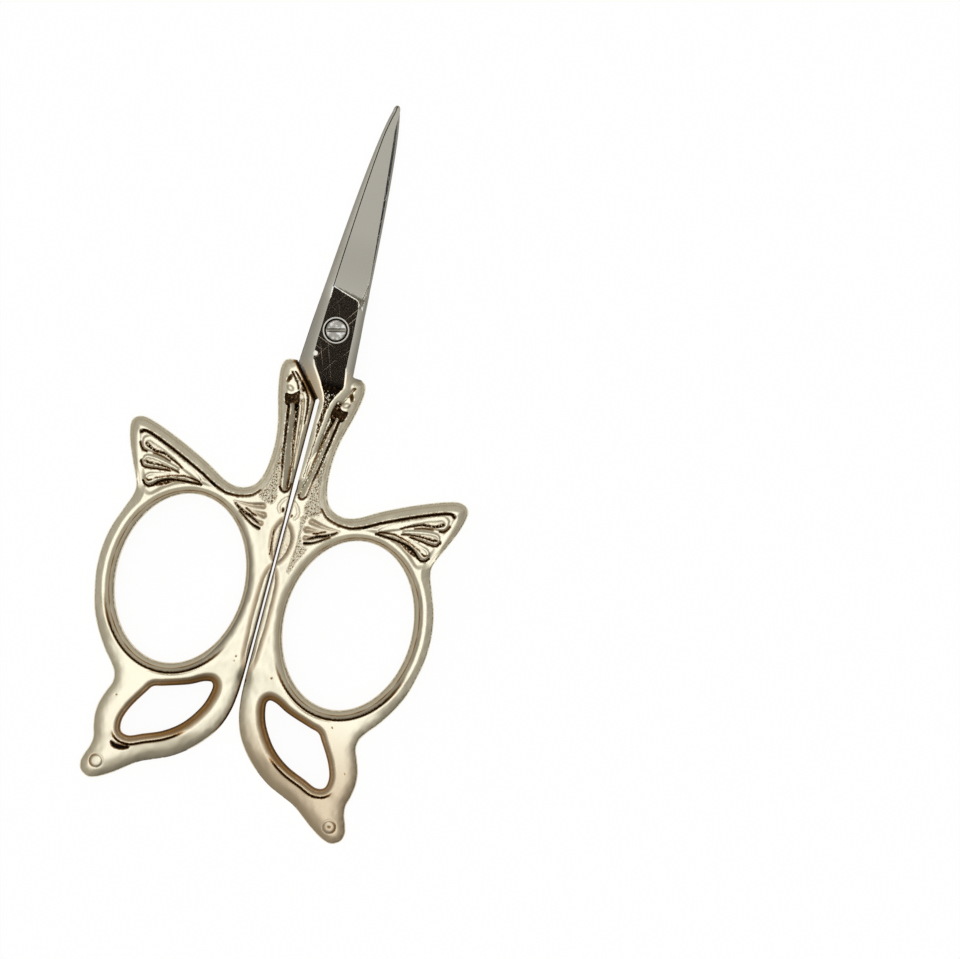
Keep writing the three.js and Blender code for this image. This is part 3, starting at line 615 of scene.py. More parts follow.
def bladeLine(y, lean):  # at heights y: spine, crest, end of its land, cutting edge, height of the crest
    b = blade
    share = np.clip((y - b["heelY"]) / (b["length"] - b["heelY"]), -0.2, 1)
    taper = np.maximum(1 - share, 0)
    centre = lean * y / b["length"]
    intoTip = np.clip(1 + (y - b["length"]) / b["tipRound"], 0, 1)
    rounded = np.maximum(np.sqrt(1 - intoTip ** 2), b["tipLeast"])
    spine = centre - np.maximum(b["spineHalf"] * taper ** b["spinePower"], b["tipWidth"] / 2) * rounded
    edge = centre + np.maximum(b["edgeHalf"] * taper ** b["edgePower"], b["tipWidth"] / 2) * rounded
    strip = np.maximum(b["strip"] * taper ** b["stripPower"], b["tipStrip"])
    crest = spine + np.minimum(strip, (edge - spine) * b["crestShare"])
    land = np.minimum(b["land"], (edge - crest) * b["landShare"])
    thick = b["edgeLand"] + b["heelLand"] * (1 - ramp(b["heelTop"], b["heelFade"], y))
    crestZ = innerFace + thick + b["facetSlope"] * (edge - crest - land)
    return spine, crest, crest + land, edge, np.minimum(crestZ, scissors["thickness"])


def backEdge(y, lean):  # the spine, and below it the back of the shank
    x, start = shank["cornerSpine"]
    return np.where(y > blade["heelTop"], bladeLine(y, lean)[0], x + (y - start) * shank["backSlope"])


def bladeFace(points, lean):  # height of the blade's outer face
    b = blade
    x, y = points.T
    spine, crest, landEnd, _, crestZ = bladeLine(y, lean)
    out = np.maximum(crest - x, 0)
    near, far = b["stripSlope"]
    strip = crestZ - near * out - (far - near) * out * out / 2 / np.maximum(crest - spine, 0.05)
    facet = crestZ - b["facetSlope"] * (x - landEnd)
    return np.where(x < crest, strip, np.where(x < landEnd, crestZ, facet))


def shankFace(points):  # height of the shank's outer face: polished flat with bevels falling from it
    x, y = points.T
    gap = np.where(onFlat(points), 0, measure(points, closedLine(flatLoop), 6)[0])
    left, right = shank["heelSides"]
    ahead = ramp(*shank["heelFrom"], y + shank["heelTilt"] * (x + 2))
    ahead = ahead * ramp(*left, x) * (1 - ramp(*right, x))
    near, far = shank["bevelSlope"]
    bevel = near * gap + (far - near) * gap * gap / 2 / shank["bevelReach"]
    soft = shank["edgeSoft"] * ramp(*shank["softFrom"], y)
    bevel -= (near - shank["softSlope"]) * np.minimum(gap, soft)
    chip = shank["chip"]
    away = np.hypot(*(points - chip["centre"]).T) / chip["radius"]
    dent = chip["depth"] * np.clip(1 - away * away, 0, 1)
    worn = np.minimum(gap, shank["heelEdge"])
    wall = shank["heelSlope"] * worn + shank["ricassoSlope"] * (gap - worn)
    return scissors["thickness"] - bevel - (wall - bevel) * ahead - dent


def halfOutline(lean, drop):  # the half seen from above, once round
    down = [0, -drop]
    y = blade["length"] - (blade["length"] - 7.0) * np.linspace(0, 1, 60) ** 1.4
    spine, _, _, edge, _ = bladeLine(y, lean)
    edgeLine = np.column_stack([edge, y])
    spineLine = np.column_stack([spine, y])[::-1]
    edgeSide = straight(shank["edgeSide"], 0.4)
    grip = np.array([handle["notchTop"], outerEdge[0]]) + down
    hornFoot = straight([shank["edgeSide"][-1], *grip], 0.2)
    inner = np.vstack([splitEdge[1:], neckEdge[1:-1]]) + down
    slanted = straight([shank["crotch"], shank["cornerSpine"]], 0.2)
    back = straight([shank["cornerSpine"], spineLine[0] - [0.06, 0.5]], 0.5)
    handleSide = [hornFoot[1:], outerEdge[1:] + down, inner]
    return np.vstack([edgeLine, edgeSide, *handleSide, slanted, back[1:], spineLine[:-1]])


# one half as a closed mesh: both faces over the same net of triangles, and a wall round the edges

mesh = dict(
    fine=0.17,  # net over the relief
    coarse=0.7,  # net over blade and shank
    heelNet=(-2.4, 6.4, 2),  # round the heel the fine one: its left border, its middle height, its reach
    clear=0.055,  # least distance between two points of the net
    rings=(0.05, 0.14, 0.3, 0.5, 0.75, 1.0, 1.25),  # rows along each edge
    notchRows=(0.03, -0.03, -0.25, -0.5), flatRows=(0.12, 0.24, -0.12, -0.24),
    heelRows=(0.05, 0.11, 0.18, 0.26, 0.35, 0.45, 0.57, 0.7), chipRows=(0.08, 0.16, 0.24, 0.32, 0.4),
    plateSharp=42, steelSharp=8,  # degrees from which an edge stays sharp
)


def thinned(groups, clear):  # points in order of rank, none closer to an earlier one than clear
    kept, cells = [], {}
    for points, always in groups:
        for p in points:
            cell = (math.floor(p[0] / clear), math.floor(p[1] / clear))
            if not always:
                around = [cells.get((cell[0] + i, cell[1] + j), ()) for i in (-1, 0, 1) for j in (-1, 0, 1)]
                if any(math.hypot(p[0] - q[0], p[1] - q[1]) < clear for near in around for q in near):
                    continue
            cells.setdefault(cell, []).append(p)
            kept.append(p)
    return np.array(kept)


def hexNet(low, high, spacing):
    rows = np.arange(low[1], high[1], spacing * 0.866)
    columns = np.arange(low[0], high[0], spacing)
    x, y = np.meshgrid(columns, rows)
    x[1::2] += spacing / 2
    return np.column_stack([x.ravel(), y.ravel()])


def steelCreases(lean):  # lines the net keeps: crest and land of the blade, polished flat, inner chamfer
    y = np.concatenate([np.linspace(6.6, 34, 46), np.linspace(34.3, blade["length"] - 0.3, 8)])
    _, crest, landEnd, _, _ = bladeLine(y, lean)
    chamfered = np.linspace(-4.5, 34.5, 80)
    chamfer = backEdge(chamfered, lean) + blade["innerChamfer"]
    return [np.column_stack([crest, y]), np.column_stack([landEnd, y]), straight(closedLine(flatLoop), 0.4),
            np.column_stack([chamfer, chamfered])]


def netRows(loops, notch, down):  # rows of points along edges, grooves and pads
    rows = [sideways(straight(notch, 0.2), reach) for reach in mesh["notchRows"]]
    heel = straight(shank["flat"][:2], 0.12)  # upper edge of the flat
    rise = np.array([heel[0][1] - heel[-1][1], heel[-1][0] - heel[0][0]])
    rows += [heel + rise / np.hypot(*rise) * reach for reach in mesh["heelRows"]]
    rows += [sideways(straight(closedLine(flatLoop), 0.25), reach) for reach in mesh["flatRows"]]
    rows += [arc(shank["chip"]["centre"], reach, reach, 0, 360, 16) for reach in mesh["chipRows"]]
    for groove in grooves:
        line = smoothLine(groove["line"], spacing=0.15) + down
        half = mixed(groove["width"], np.linspace(0, 1, len(line))) / 2
        rows += [sideways(line, half * reach) for reach in (0, 0.4, -0.4)]
        rows += [sideways(line, np.sign(reach) * half + reach) for reach in (0.1, -0.1)]
    for pad in pads:
        rim = smoothLine(pad["rim"], closed=True) + down
        rows.append(rim)
        rows += [sideways(rim, reach * pad["wall"], closed=True) for reach in (0.5, -0.5, 1, -1)]
    for loop in loops:
        for reach in mesh["rings"]:
            for side in (1, -1):
                ring = sideways(loop, side * reach, closed=True)
                gap = measure(ring, closedLine(loop), reach * 1.01)[0]
                rows.append(ring[gap > reach * 0.97])
    return rows


def triangles(loops, lines, loose, within):  # net facing up, with the loops and lines among its edges
    edges, count = [], 0
    for line in [*loops, *lines]:
        n = len(line)
        closing = n if count < sum(map(len, loops)) else n - 1
        edges += [(count + i, count + (i + 1) % n) for i in range(closing)]
        count += n
    points = thinned([(np.vstack([*loops, *lines]), True), (loose, False)], mesh["clear"])
    flat, _, faces = delaunay_2d_cdt([Vector(p) for p in points], edges, [], 0, 1e-6)[:3]
    flat = np.array([v[:] for v in flat])
    faces = np.array([f for f in faces])
    faces = faces[within(flat[faces].mean(1))]
    used = np.unique(faces)
    renumber = np.full(len(flat), -1)
    renumber[used] = np.arange(len(used))
    flat, faces = flat[used], renumber[faces]
    a, b, c = (flat[faces[:, k]] for k in range(3))
    turned = (b[:, 0] - a[:, 0]) * (c[:, 1] - a[:, 1]) < (b[:, 1] - a[:, 1]) * (c[:, 0] - a[:, 0])
    faces[turned] = faces[turned][:, ::-1]
    return flat, faces


def netLinks(flat, faces, onGrip):  # links between the handle's points, weighted so that plain slopes stay
    numbers = np.where(onGrip, np.cumsum(onGrip) - 1, -1)
    links, weights = [], []
    for i in range(3):
        apex, start, end = (faces[:, (i + k) % 3] for k in range(3))
        one, other = flat[start] - flat[apex], flat[end] - flat[apex]
        turn = np.abs(one[:, 0] * other[:, 1] - one[:, 1] * other[:, 0])
        links += [np.column_stack([start, end]), np.column_stack([end, start])]
        weights += [np.clip((one * other).sum(1) / np.maximum(turn, 1e-9), -4, 20)] * 2
    links, weights = numbers[np.vstack(links)], np.concatenate(weights)
    both = (links >= 0).all(1)
    return links[both], weights[both]


def buildHalf(name, lean, drop, boreRadius):
    down = np.array([0, -drop])
    thickness = scissors["thickness"]
    counterbored = boreRadius > shank["tapped"]
    outline = halfOutline(lean, drop)
    bore = arc((0, 0), boreRadius, boreRadius, 0, 360, 72)[:-1]
    holes = [fingerLoop + down, hindLoop + down, bore]
    notch = np.array([handle["notchFoot"], handle["notchTop"]]) + down
    across = np.array([notch[1][1] - notch[0][1], notch[0][0] - notch[1][0]])
    across = across / np.hypot(*across)  # from the shank's side of the notch to the handle's

    def onHandle(points):
        past = (points - notch[0]) @ across > 0
        return (past & (points[:, 0] > notch[0][0] - 0.4)) | (points[:, 1] < notch[0][1])

    def within(points):
        keep = inside(points, outline)
        for loop in holes:
            keep &= ~inside(points, loop)
        return keep

    # one net for both faces: rows along what is drawn, then an even net between them
    bead = sideways(fingerLoop, -beadCrest(bearing(fingerLoop, **hole)), closed=True) + down
    loops = [outline, *holes, bead]
    if counterbored:
        for radius in (shank["bore"] - 0.02, shank["bore"], shank["boreMouth"]):
            loops.append(arc((0, 0), radius, radius, 0, 360, 72)[:-1])
    rows = netRows([outline, *holes[:2]], notch, down)
    low, high = outline.min(0), outline.max(0)
    fine, coarse = hexNet(low, high, mesh["fine"]), hexNet(low, high, mesh["coarse"])
    left, heelY, reach = mesh["heelNet"]
    close = onHandle(fine) | ((np.abs(fine[:, 1] - heelY) < reach) & (fine[:, 0] > left))
    loose = np.vstack([*rows, fine[close], coarse[~onHandle(coarse)]])
    flat, faces = triangles(loops, steelCreases(lean), loose[within(loose)], within)

    # heights of blade and shank
    x, y = flat.T
    onGrip, polished = onHandle(flat), onFlat(flat)
    top = np.full(len(flat), -1.0)
    top[~onGrip] = shankFace(flat[~onGrip])
    isBlade = y > 4.5
    above, below = top[isBlade], bladeFace(flat[isBlade], lean)
    _, crest, landEnd, _, _ = bladeLine(y, lean)
    blend = np.clip(1 - np.abs(above - below) / shank["fillet"], 0, 1) * (x > landEnd)[isBlade]
    top[isBlade] = np.minimum(np.maximum(above, below) + shank["fillet"] * blend ** 2 / 4, thickness)
    strip = (y > 3.4) & (x < landEnd) & ~polished
    turn = ramp(3.5, blade["heelTop"], y[strip])  # the shank's bevel runs on into the spine's
    top[strip] = shankFace(flat[strip]) * (1 - turn) + bladeFace(flat[strip], lean) * turn
    chamfer = np.clip(blade["innerChamfer"] - x + backEdge(y, lean), 0, 0.4) * (y > -4.6)
    under = innerFace + blade["chamferSlope"] * chamfer
    paintedShade, stipple = np.zeros((2, len(flat)))
    # painted shade: the narrow land between the blade's crest and its facet is painted black
    paintedShade[(y > blade["heelTop"]) & (x > crest - 0.002) & (x < landEnd + 0.002)] = 1

    # both faces of the handle; the end of the shank lies in the upper one, beside the channel as a ribbon
    links, weights = netLinks(flat, faces, onGrip)
    depth, paintedShade[onGrip], stipple[onGrip] = relief(flat[onGrip] - down, links, weights, False)
    under[onGrip], paintedShadeUnder, stippleUnder = relief(flat[onGrip] - down, links, weights, True)
    ribbon = shankFace(flat[onGrip])
    past = measure(flat[onGrip], closedLine(flatLoop), 1.5)[0]
    gripY = y[onGrip]
    sideDrop, endDrop = shank["ribbonDrop"]
    ribbon -= (sideDrop * ramp(*shank["ribbonEdge"], past) * ramp(*shank["ribbonFrom"], gripY)
               + endDrop * ramp(*shank["ribbonEnd"], gripY))
    buried = ramp(-0.02, 0.1, ribbon - thickness + depth)
    top[onGrip] = np.maximum(thickness - depth, ribbon)
    paintedShade[onGrip] *= 1 - buried
    stipple[onGrip] *= 1 - buried
    stipple = np.maximum(stipple, ramp(-8.9, -11, y) * (1 - 0.7 * ramp(-15, -16.5, y)) * polished)
    # painted reflection: the polished flat's lower end is painted dark like the mirror above it, less so
    # further down
    paintedShade = np.maximum(paintedShade, (0.92 * ramp(-7.4, -8.8, y) - 0.2 * ramp(-9.5, -13, y)) * polished)
    if counterbored:
        radius = np.hypot(x, y)
        top = np.where(radius < shank["bore"] - 0.005, shank["boreFloor"], top)
        # painted shade: the counterbore round the screw head is painted black
        paintedShade[radius < shank["bore"] + 0.005] = 1
        cone = (radius > shank["bore"] - 0.005) & (radius < shank["boreMouth"])
        top = np.where(cone, thickness - (shank["boreMouth"] - radius) * shank["boreBevel"], top)

    # vertices, faces and walls
    n = len(flat)
    sides = np.vstack([faces[:, [0, 1]], faces[:, [1, 2]], faces[:, [2, 0]]])
    keys = {tuple(s) for s in sides.tolist()}
    rim = [s for s in keys if (s[1], s[0]) not in keys]
    walls = [(i, i + n, j + n, j) for i, j in rim]
    vertices = np.vstack([np.column_stack([flat, top]), np.column_stack([flat, under])])
    data = bpy.data.meshes.new(name)
    data.from_pydata((vertices * mm).tolist(), [], [*faces.tolist(), *(faces[:, ::-1] + n).tolist(), *walls])
    paintedShadeAll = np.concatenate([paintedShade, np.zeros(n)])
    stippleAll = np.concatenate([stipple, np.zeros(n)])
    paintedShadeAll[n:][onGrip], stippleAll[n:][onGrip] = paintedShadeUnder, stippleUnder
    beside = (flat - notch[0]) @ across  # painted shade in the corner under the notch
    underNotch = ~onGrip & (beside > -0.62) & (y < -4)
    paintedShadeAll[n:][underNotch] = 0.92 + 0.5 * beside[underNotch]
    plating = ramp(*shank["plateFade"], vertices[:, 1])
    plating[:n][onGrip] = np.maximum(plating[:n][onGrip], ramp(*shank["gripFade"], gripY))
    plating[n:][onGrip] = 1
    # paintedShade paints shade, brown to black, into hollows, grooves, steps and gaps
    for label, values in (("paintedShade", paintedShadeAll), ("stipple", stippleAll), ("plating", plating)):
        data.attributes.new(label, "FLOAT", "POINT").data.foreach_set("value", values.astype(np.float32))

    # finishes: 0 gold plate, 1 ground steel, 2 polished steel, 3 lapped inner face
    middle = flat[faces].mean(1)
    x, y = middle.T
    _, crest, landEnd, _, _ = bladeLine(y, lean)
    topSlot = np.where(onHandle(middle), 0, 1)
    polished = onFlat(middle)
    topSlot[polished & (y > shank["plateFrom"])] = 2
    topSlot[polished & (y < shank["plateFrom"])] = 0
    topSlot[(y > blade["heelTop"]) & (x > crest) & (x < landEnd)] = 2
    topSlot[np.hypot(x, y) < shank["boreMouth"]] = 1
    topSlot[np.hypot(x, y) < shank["bore"]] = 2
    topSlot[np.hypot(*(middle - shank["chip"]["centre"]).T) < shank["chip"]["radius"]] = 1
    underSlot = np.where(onHandle(middle), 0, 3)
    underSlot[(underSlot == 3) & (x < backEdge(y, lean) + blade["innerChamfer"])] = 1
    underSlot[((middle - notch[0]) @ across > -0.6) & (y < -4) & (x > 0)] = 0
    wallMiddle = np.array([(flat[i] + flat[j]) / 2 for i, j in rim])
    wallSlot = np.where(onHandle(wallMiddle) | (wallMiddle[:, 1] < -6.5), 0, 1)
    slots = np.concatenate([topSlot, underSlot, wallSlot]).astype(np.int32)
    data.polygons.foreach_set("material_index", slots)
    data.polygons.foreach_set("use_smooth", np.ones(len(slots), bool))
    data.update()
    onBead = measure(flat, closedLine(bead), 0.02)[0] < 0.001
    shape = bmesh.new()
    shape.from_mesh(data)
    for e in shape.edges:  # creases of the ground steel and the corners of the walls stay sharp
        if len(e.link_faces) == 2:
            steel = any(f.material_index for f in e.link_faces)
            crease = all(onBead[v.index % n] for v in e.verts)
            limit = mesh["steelSharp" if steel else "plateSharp"]
            e.smooth = not crease and e.calc_face_angle() < math.radians(limit)
    shape.to_mesh(data)
    shape.free()
    piece = bpy.data.objects.new(name, data)
    bpy.context.scene.collection.objects.link(piece)
    print(name, n, "points a face,", len(faces) * 2 + len(walls) * 2, "triangles")
    return piece


frontHalf = buildHalf("front_half_forging", blade["lean"], scissors["stagger"], shank["throughHole"])
backHalf = buildHalf("back_half_forging", -blade["lean"], 0, shank["tapped"])
turnOver = Matrix.Translation((0, 0, scissors["thickness"] * mm)) @ Matrix.Rotation(math.pi, 4, "Y")
backHalf.data.transform(turnOver)


# pivot screw: turned head with a worn slot

screw = dict(
    headRadius=1.64, headTop=3.86, headSeat=3.05, dome=0.07, edge=0.1,
    shoulderRadius=1.25, shoulderEnd=2.13, threadRadius=1.0,
    slotWidth=0.64, slotFloor=0.32, slotLength=2.84, slotDepth=0.34,  # worn wide at the mouth
    slotTurn=math.radians(14.8),
)


def buildScrew():
    s = screw
    profile = [(s["headRadius"] * k / 6, s["headTop"] - s["dome"] * (k / 6) ** 2) for k in range(6)]
    profile += [(s["headRadius"] - s["edge"], s["headTop"] - s["dome"]),
                (s["headRadius"] - 0.03, s["headTop"] - s["dome"] - 0.04),
                (s["headRadius"], s["headTop"] - s["dome"] - s["edge"]),
                (s["headRadius"], s["headSeat"]), (s["shoulderRadius"], s["headSeat"]),
                (s["shoulderRadius"], s["shoulderEnd"]), (s["threadRadius"], s["shoulderEnd"]),
                (s["threadRadius"], 0), (0, 0)]
    shape = bmesh.new()
    row = [shape.verts.new((r * mm, 0, z * mm)) for r, z in profile]
    for a, b in zip(row[:-1], row[1:]):
        shape.edges.new((a, b))
    bmesh.ops.spin(shape, geom=shape.verts[:] + shape.edges[:], cent=(0, 0, 0), axis=(0, 0, 1),
                   angle=math.tau, steps=64, use_merge=True)
    bmesh.ops.remove_doubles(shape, verts=shape.verts, dist=1e-6)
    bmesh.ops.recalc_face_normals(shape, faces=shape.faces)
    data = bpy.data.meshes.new("pivot_screw_turned")
    shape.to_mesh(data)
    shape.free()
    piece = bpy.data.objects.new("pivot_screw_turned", data)
    bpy.context.scene.collection.objects.link(piece)
    cutter = bmesh.new()
    bmesh.ops.create_cube(cutter, size=1)
    slot = (s["slotLength"] * mm, s["slotFloor"] * mm, 2 * s["slotDepth"] * mm)
    bmesh.ops.scale(cutter, vec=slot, verts=cutter.verts)
    bmesh.ops.translate(cutter, vec=(0, 0, s["headTop"] * mm), verts=cutter.verts)
    mouth = [v for v in cutter.verts if v.co.z > s["headTop"] * mm]
    bmesh.ops.scale(cutter, vec=(1, 2 * s["slotWidth"] / s["slotFloor"] - 1, 1), verts=mouth)
    turn = Matrix.Rotation(s["slotTurn"], 3, "Z")
    bmesh.ops.rotate(cutter, cent=(0, 0, 0), matrix=turn, verts=cutter.verts)
    toolData = bpy.data.meshes.new("slotCutter")
    cutter.to_mesh(toolData)
    cutter.free()
    slotTool = bpy.data.objects.new("slotCutter", toolData)
    bpy.context.scene.collection.objects.link(slotTool)
    cut = piece.modifiers.new("slot", "BOOLEAN")
    cut.object = slotTool
    cut.operation = "DIFFERENCE"
    cut.solver = "EXACT"
    cutMesh = bpy.data.meshes.new_from_object(piece.evaluated_get(bpy.context.evaluated_depsgraph_get()))
    piece.modifiers.clear()
    piece.data = cutMesh
    cutMesh.name = "pivot_screw_turned"
    bpy.data.objects.remove(slotTool)
    shape = bmesh.new()
    shape.from_mesh(cutMesh)
    across = Vector((-math.sin(s["slotTurn"]), math.cos(s["slotTurn"]), 0))
    for f in shape.faces:
        f.smooth = True
        middle = f.calc_center_median()
        inWidth = abs(middle.dot(across)) < s["slotWidth"] * mm * 0.5
        inSlot = inWidth and middle.xy.length < s["slotLength"] * mm * 0.51
        if inSlot and (s["headTop"] - s["slotDepth"] - 0.02) * mm < middle.z < (s["headTop"] - 0.1) * mm:
            # the slot's walls and floor take the finishes painted in shade
            f.material_index = 2 if f.normal.z > 0.95 else 1
    for e in shape.edges:
        if len(e.link_faces) == 2:
            e.smooth = e.calc_face_angle() < math.radians(25)
    shape.to_mesh(cutMesh)
    shape.free()
    print("pivot screw", len(cutMesh.polygons), "faces")
    return piece


pivotScrew = buildScrew()


# materials

def srgb(code):  # sRGB hex to linear colour
    parts = [int(code[i:i + 2], 16) / 255 for i in (0, 2, 4)]
    return (*[c / 12.92 if c <= 0.04045 else ((c + 0.055) / 1.055) ** 2.4 for c in parts], 1)


def addNode(tree, kind, inputs=None, out=0, **settings):  # adds a node, and gives the output that is used
    node = tree.nodes.new(kind)
    for label, value in settings.items():
        setattr(node, label, value)
    for label, value in (inputs or {}).items():
        if isinstance(value, bpy.types.NodeSocket):
            tree.links.new(value, node.inputs[label])
        else:
            node.inputs[label].default_value = value
    return node.outputs[out] if node.outputs else node


def calc(tree, operation, *values, **settings):
    return addNode(tree, "ShaderNodeMath", dict(enumerate(values)), operation=operation, **settings)


def ranged(tree, value, low=0, high=1, toLow=0, toHigh=1):
    limits = {"From Min": low, "From Max": high, "To Min": toLow, "To Max": toHigh}
    return addNode(tree, "ShaderNodeMapRange", {"Value": value, **limits})


def newMaterial(name):
    material = bpy.data.materials.new(name)
    material.use_nodes = True
    tree = material.node_tree
    tree.nodes.clear()
    return material, tree, addNode(tree, "ShaderNodeTexCoord", out="Object")


def finishMetal(tree, inputs):
    metal = addNode(tree, "ShaderNodeBsdfPrincipled", {"Metallic": 1, **inputs})
    addNode(tree, "ShaderNodeOutputMaterial", {"Surface": metal})


def carried(tree, label):  # a value that the mesh carries
    return addNode(tree, "ShaderNodeAttribute", out="Fac", attribute_name=label)


def blended(tree, share, first, second):  # two colours mixed
    return addNode(tree, "ShaderNodeMix", {"Factor": share, 6: first, 7: second}, out=2, data_type="RGBA")


# Pale gold plate on cast steel: polished on the crests, with painted shade, brown to black, in the hollows,
# grooves and gaps
goldPlate = dict(
    gold="E5DEC3", brown="AD8450", shadeBlack="1A130C", steel="CFCBBF", rough=0.27,
    grain=0.3, spots=(0.625, 0.645), pits=(0.46, 0.4),  # grain size; where bright and dark specks start
)


def goldPlateMaterial():
    g = goldPlate
    material, tree, place = newMaterial("pale_gold_plate_on_cast_steel")
    paintedShade, stipple, plating = (carried(tree, label) for label in ("paintedShade", "stipple", "plating"))
    grain = addNode(tree, "ShaderNodeTexNoise", {"Vector": place, "Scale": 1 / (g["grain"] * mm), "Detail": 3,
                                                 "Roughness": 0.6})
    # specks of bright plate inside dark hollows, and dark specks on stippled ground
    raised = calc(tree, "MULTIPLY_ADD", stipple, 0.06, grain)
    spots = ranged(tree, raised, *g["spots"])
    cover = ranged(tree, stipple, high=0.3)
    speckle = calc(tree, "MULTIPLY", spots, cover)
    keep = calc(tree, "MULTIPLY_ADD", speckle, -0.95, 1.0)
    # painted shade, broken by the bright specks
    worn = calc(tree, "MULTIPLY", paintedShade, keep)
    pit = ranged(tree, grain, *g["pits"])
    pitted = calc(tree, "MULTIPLY", pit, stipple)
    dark = calc(tree, "MULTIPLY_ADD", pitted, 0.68, worn, use_clamp=True)
    tint = addNode(tree, "ShaderNodeValToRGB", {"Fac": dark})
    stops = tint.node.color_ramp.elements
    stops[0].color = srgb(g["gold"])
    stops[1].color = srgb(g["shadeBlack"])
    stops[1].position = 0.9
    stops.new(0.45).color = srgb(g["brown"])
    rough = calc(tree, "MULTIPLY_ADD", dark, 0.3, g["rough"])
    pits = calc(tree, "MULTIPLY", grain, stipple)
    bump = addNode(tree, "ShaderNodeBump", {"Height": pits, "Strength": 1.0, "Distance": 0.15 * mm})
    colour = blended(tree, plating, srgb(g["steel"]), tint)
    finishMetal(tree, {"Base Color": colour, "Roughness": rough, "Normal": bump})
    return material


# Bare steel, ground along the blade: grey, with faint grinding lines that run lengthwise
groundSteel = dict(steel="CDCBBE", warm="EBDCBC", rough=0.2, lines=(0.12, 9, 0.5))


def groundSteelMaterial():
    g = groundSteel
    material, tree, place = newMaterial("ground_bare_steel")
    scale = [1 / (size * mm) for size in g["lines"]]
    lines = addNode(tree, "ShaderNodeMapping", {"Vector": place, "Scale": scale})
    streaks = addNode(tree, "ShaderNodeTexNoise", {"Vector": lines, "Scale": 1, "Detail": 2})
    rough = ranged(tree, streaks, toLow=g["rough"] - 0.05, toHigh=g["rough"] + 0.06)
    bump = addNode(tree, "ShaderNodeBump", {"Height": streaks, "Strength": 0.05, "Distance": 0.02 * mm})
    colour = blended(tree, carried(tree, "plating"), srgb(g["steel"]), srgb(g["warm"]))
    finishMetal(tree, {"Base Color": colour, "Roughness": rough, "Normal": bump})
    return material


# Bare steel, buffed to a mirror: shows what is straight above, with a few fine scratches
# The flats of the shanks are warmer than the lapped inner faces, which the eye sees as plain grey
polishedSteel = dict(
    flat="B8A78F", inner="C6C4BC", shadeBlack="14110D",
    rough=0.05, scratched=0.16, scratchLength=7, scratchWidth=0.07, marks=(0.65, 0.73),
    scratches=((0.35, 3.1), (-0.6, 8.7), (1.2, 5.3)),  # three directions: turn, and a shift
)


def polishedSteelMaterial(name, steel):
    g = polishedSteel
    material, tree, place = newMaterial(name)
    worn = 0.0
    scratch = (g["scratchWidth"] * mm, g["scratchLength"] * mm, 1)
    for turn, shift in g["scratches"]:
        lay = addNode(tree, "ShaderNodeMapping", {"Vector": place, "Location": (shift * mm, shift * mm, 0),
                                                  "Rotation": (0, 0, turn), "Scale": scratch},
                      vector_type="TEXTURE")
        lines = addNode(tree, "ShaderNodeTexNoise", {"Vector": lay, "Scale": 0.5, "Detail": 2})
        mark = ranged(tree, lines, *g["marks"])
        worn = calc(tree, "MAXIMUM", worn, mark)
    rough = ranged(tree, worn, toLow=g["rough"], toHigh=g["scratched"])
    # paintedShade blends in painted shade and reflection: black on the blade's land, in the counterbore and
    # under the notch, dark at the flat's lower end
    colour = blended(tree, carried(tree, "paintedShade"), srgb(steel), srgb(g["shadeBlack"]))
    finishMetal(tree, {"Base Color": colour, "Roughness": rough})
    return material


# Turned screw steel, dulled grey with bright rubbed spots; painted shade in the slot, dark on its walls and
# grey on its scraped floor
screwSteel = dict(
    rough=0.3, wear=1.3, rubbed=(0.47, 0.66),
    finishes=(("turned_screw_steel", "908D82", "ECE8DC"), ("slot_wall_painted_shade", "241F18", "3A342A"),
              ("scraped_slot_floor_in_painted_shade", "6E6A5E", "8E897B")),  # dull and rubbed colour
)


def screwSteelMaterial(name, dull, bright):
    g = screwSteel
    material, tree, place = newMaterial(name)
    wear = addNode(tree, "ShaderNodeTexNoise", {"Vector": place, "Scale": 1 / (g["wear"] * mm), "Detail": 3,
                                                "Roughness": 0.6})
    rubbed = ranged(tree, wear, *g["rubbed"])
    rough = ranged(tree, wear, toLow=g["rough"] + 0.1, toHigh=g["rough"] - 0.1)
    dents = addNode(tree, "ShaderNodeBump", {"Height": wear, "Strength": 0.5, "Distance": 0.1 * mm})
    colour = blended(tree, rubbed, srgb(dull), srgb(bright))
    finishMetal(tree, {"Base Color": colour, "Roughness": rough, "Normal": dents})
    return material


finishes = [goldPlateMaterial(), groundSteelMaterial(),
            polishedSteelMaterial("mirror_polished_steel", polishedSteel["flat"]),
            polishedSteelMaterial("lapped_inner_face_steel", polishedSteel["inner"])]
for half in (frontHalf, backHalf):
    for finish in finishes:
        half.data.materials.append(finish)
for finish in screwSteel["finishes"]:
    pivotScrew.data.materials.append(screwSteelMaterial(*finish))
print("finishes are on the pieces")

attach(frontHalf, "front")
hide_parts("front_half")
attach(backHalf, "back")
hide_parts("back_half")
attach(pivotScrew, "back")
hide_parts("pivot_screw")
print("pieces ride on their bodies")


# studio: pale floor, light from all round with a dark patch straight above, where the camera stands

studio = dict(
    floorSize=3.0, floorColour="F4F4F4", floorGlow=0.8, floorStrength=1.125,
    # brightness of the tent by angle from straight up, in degrees; low down the near side is dimmer
    sky=[(0, 0.022), (2.4, 0.022), (3.7, 1.9), (9, 1.84), (14, 1.45), (23, 0.85)],
    farSky=[(36, 0.45), (50, 0.38), (70, 0.36), (90, 0.32)],
    nearSky=[(36, 0.37), (50, 0.21), (70, 0.14), (90, 0.08)],
    cool=(0.97, 1.0, 1.09), warm=(1.02, 0.97, 0.925),  # tint of the tent's bright part, and of its dim part
    near=(0.905, -0.426, 0), nearFrom=(0.2, 0.75),  # towards the right of the picture and down
)


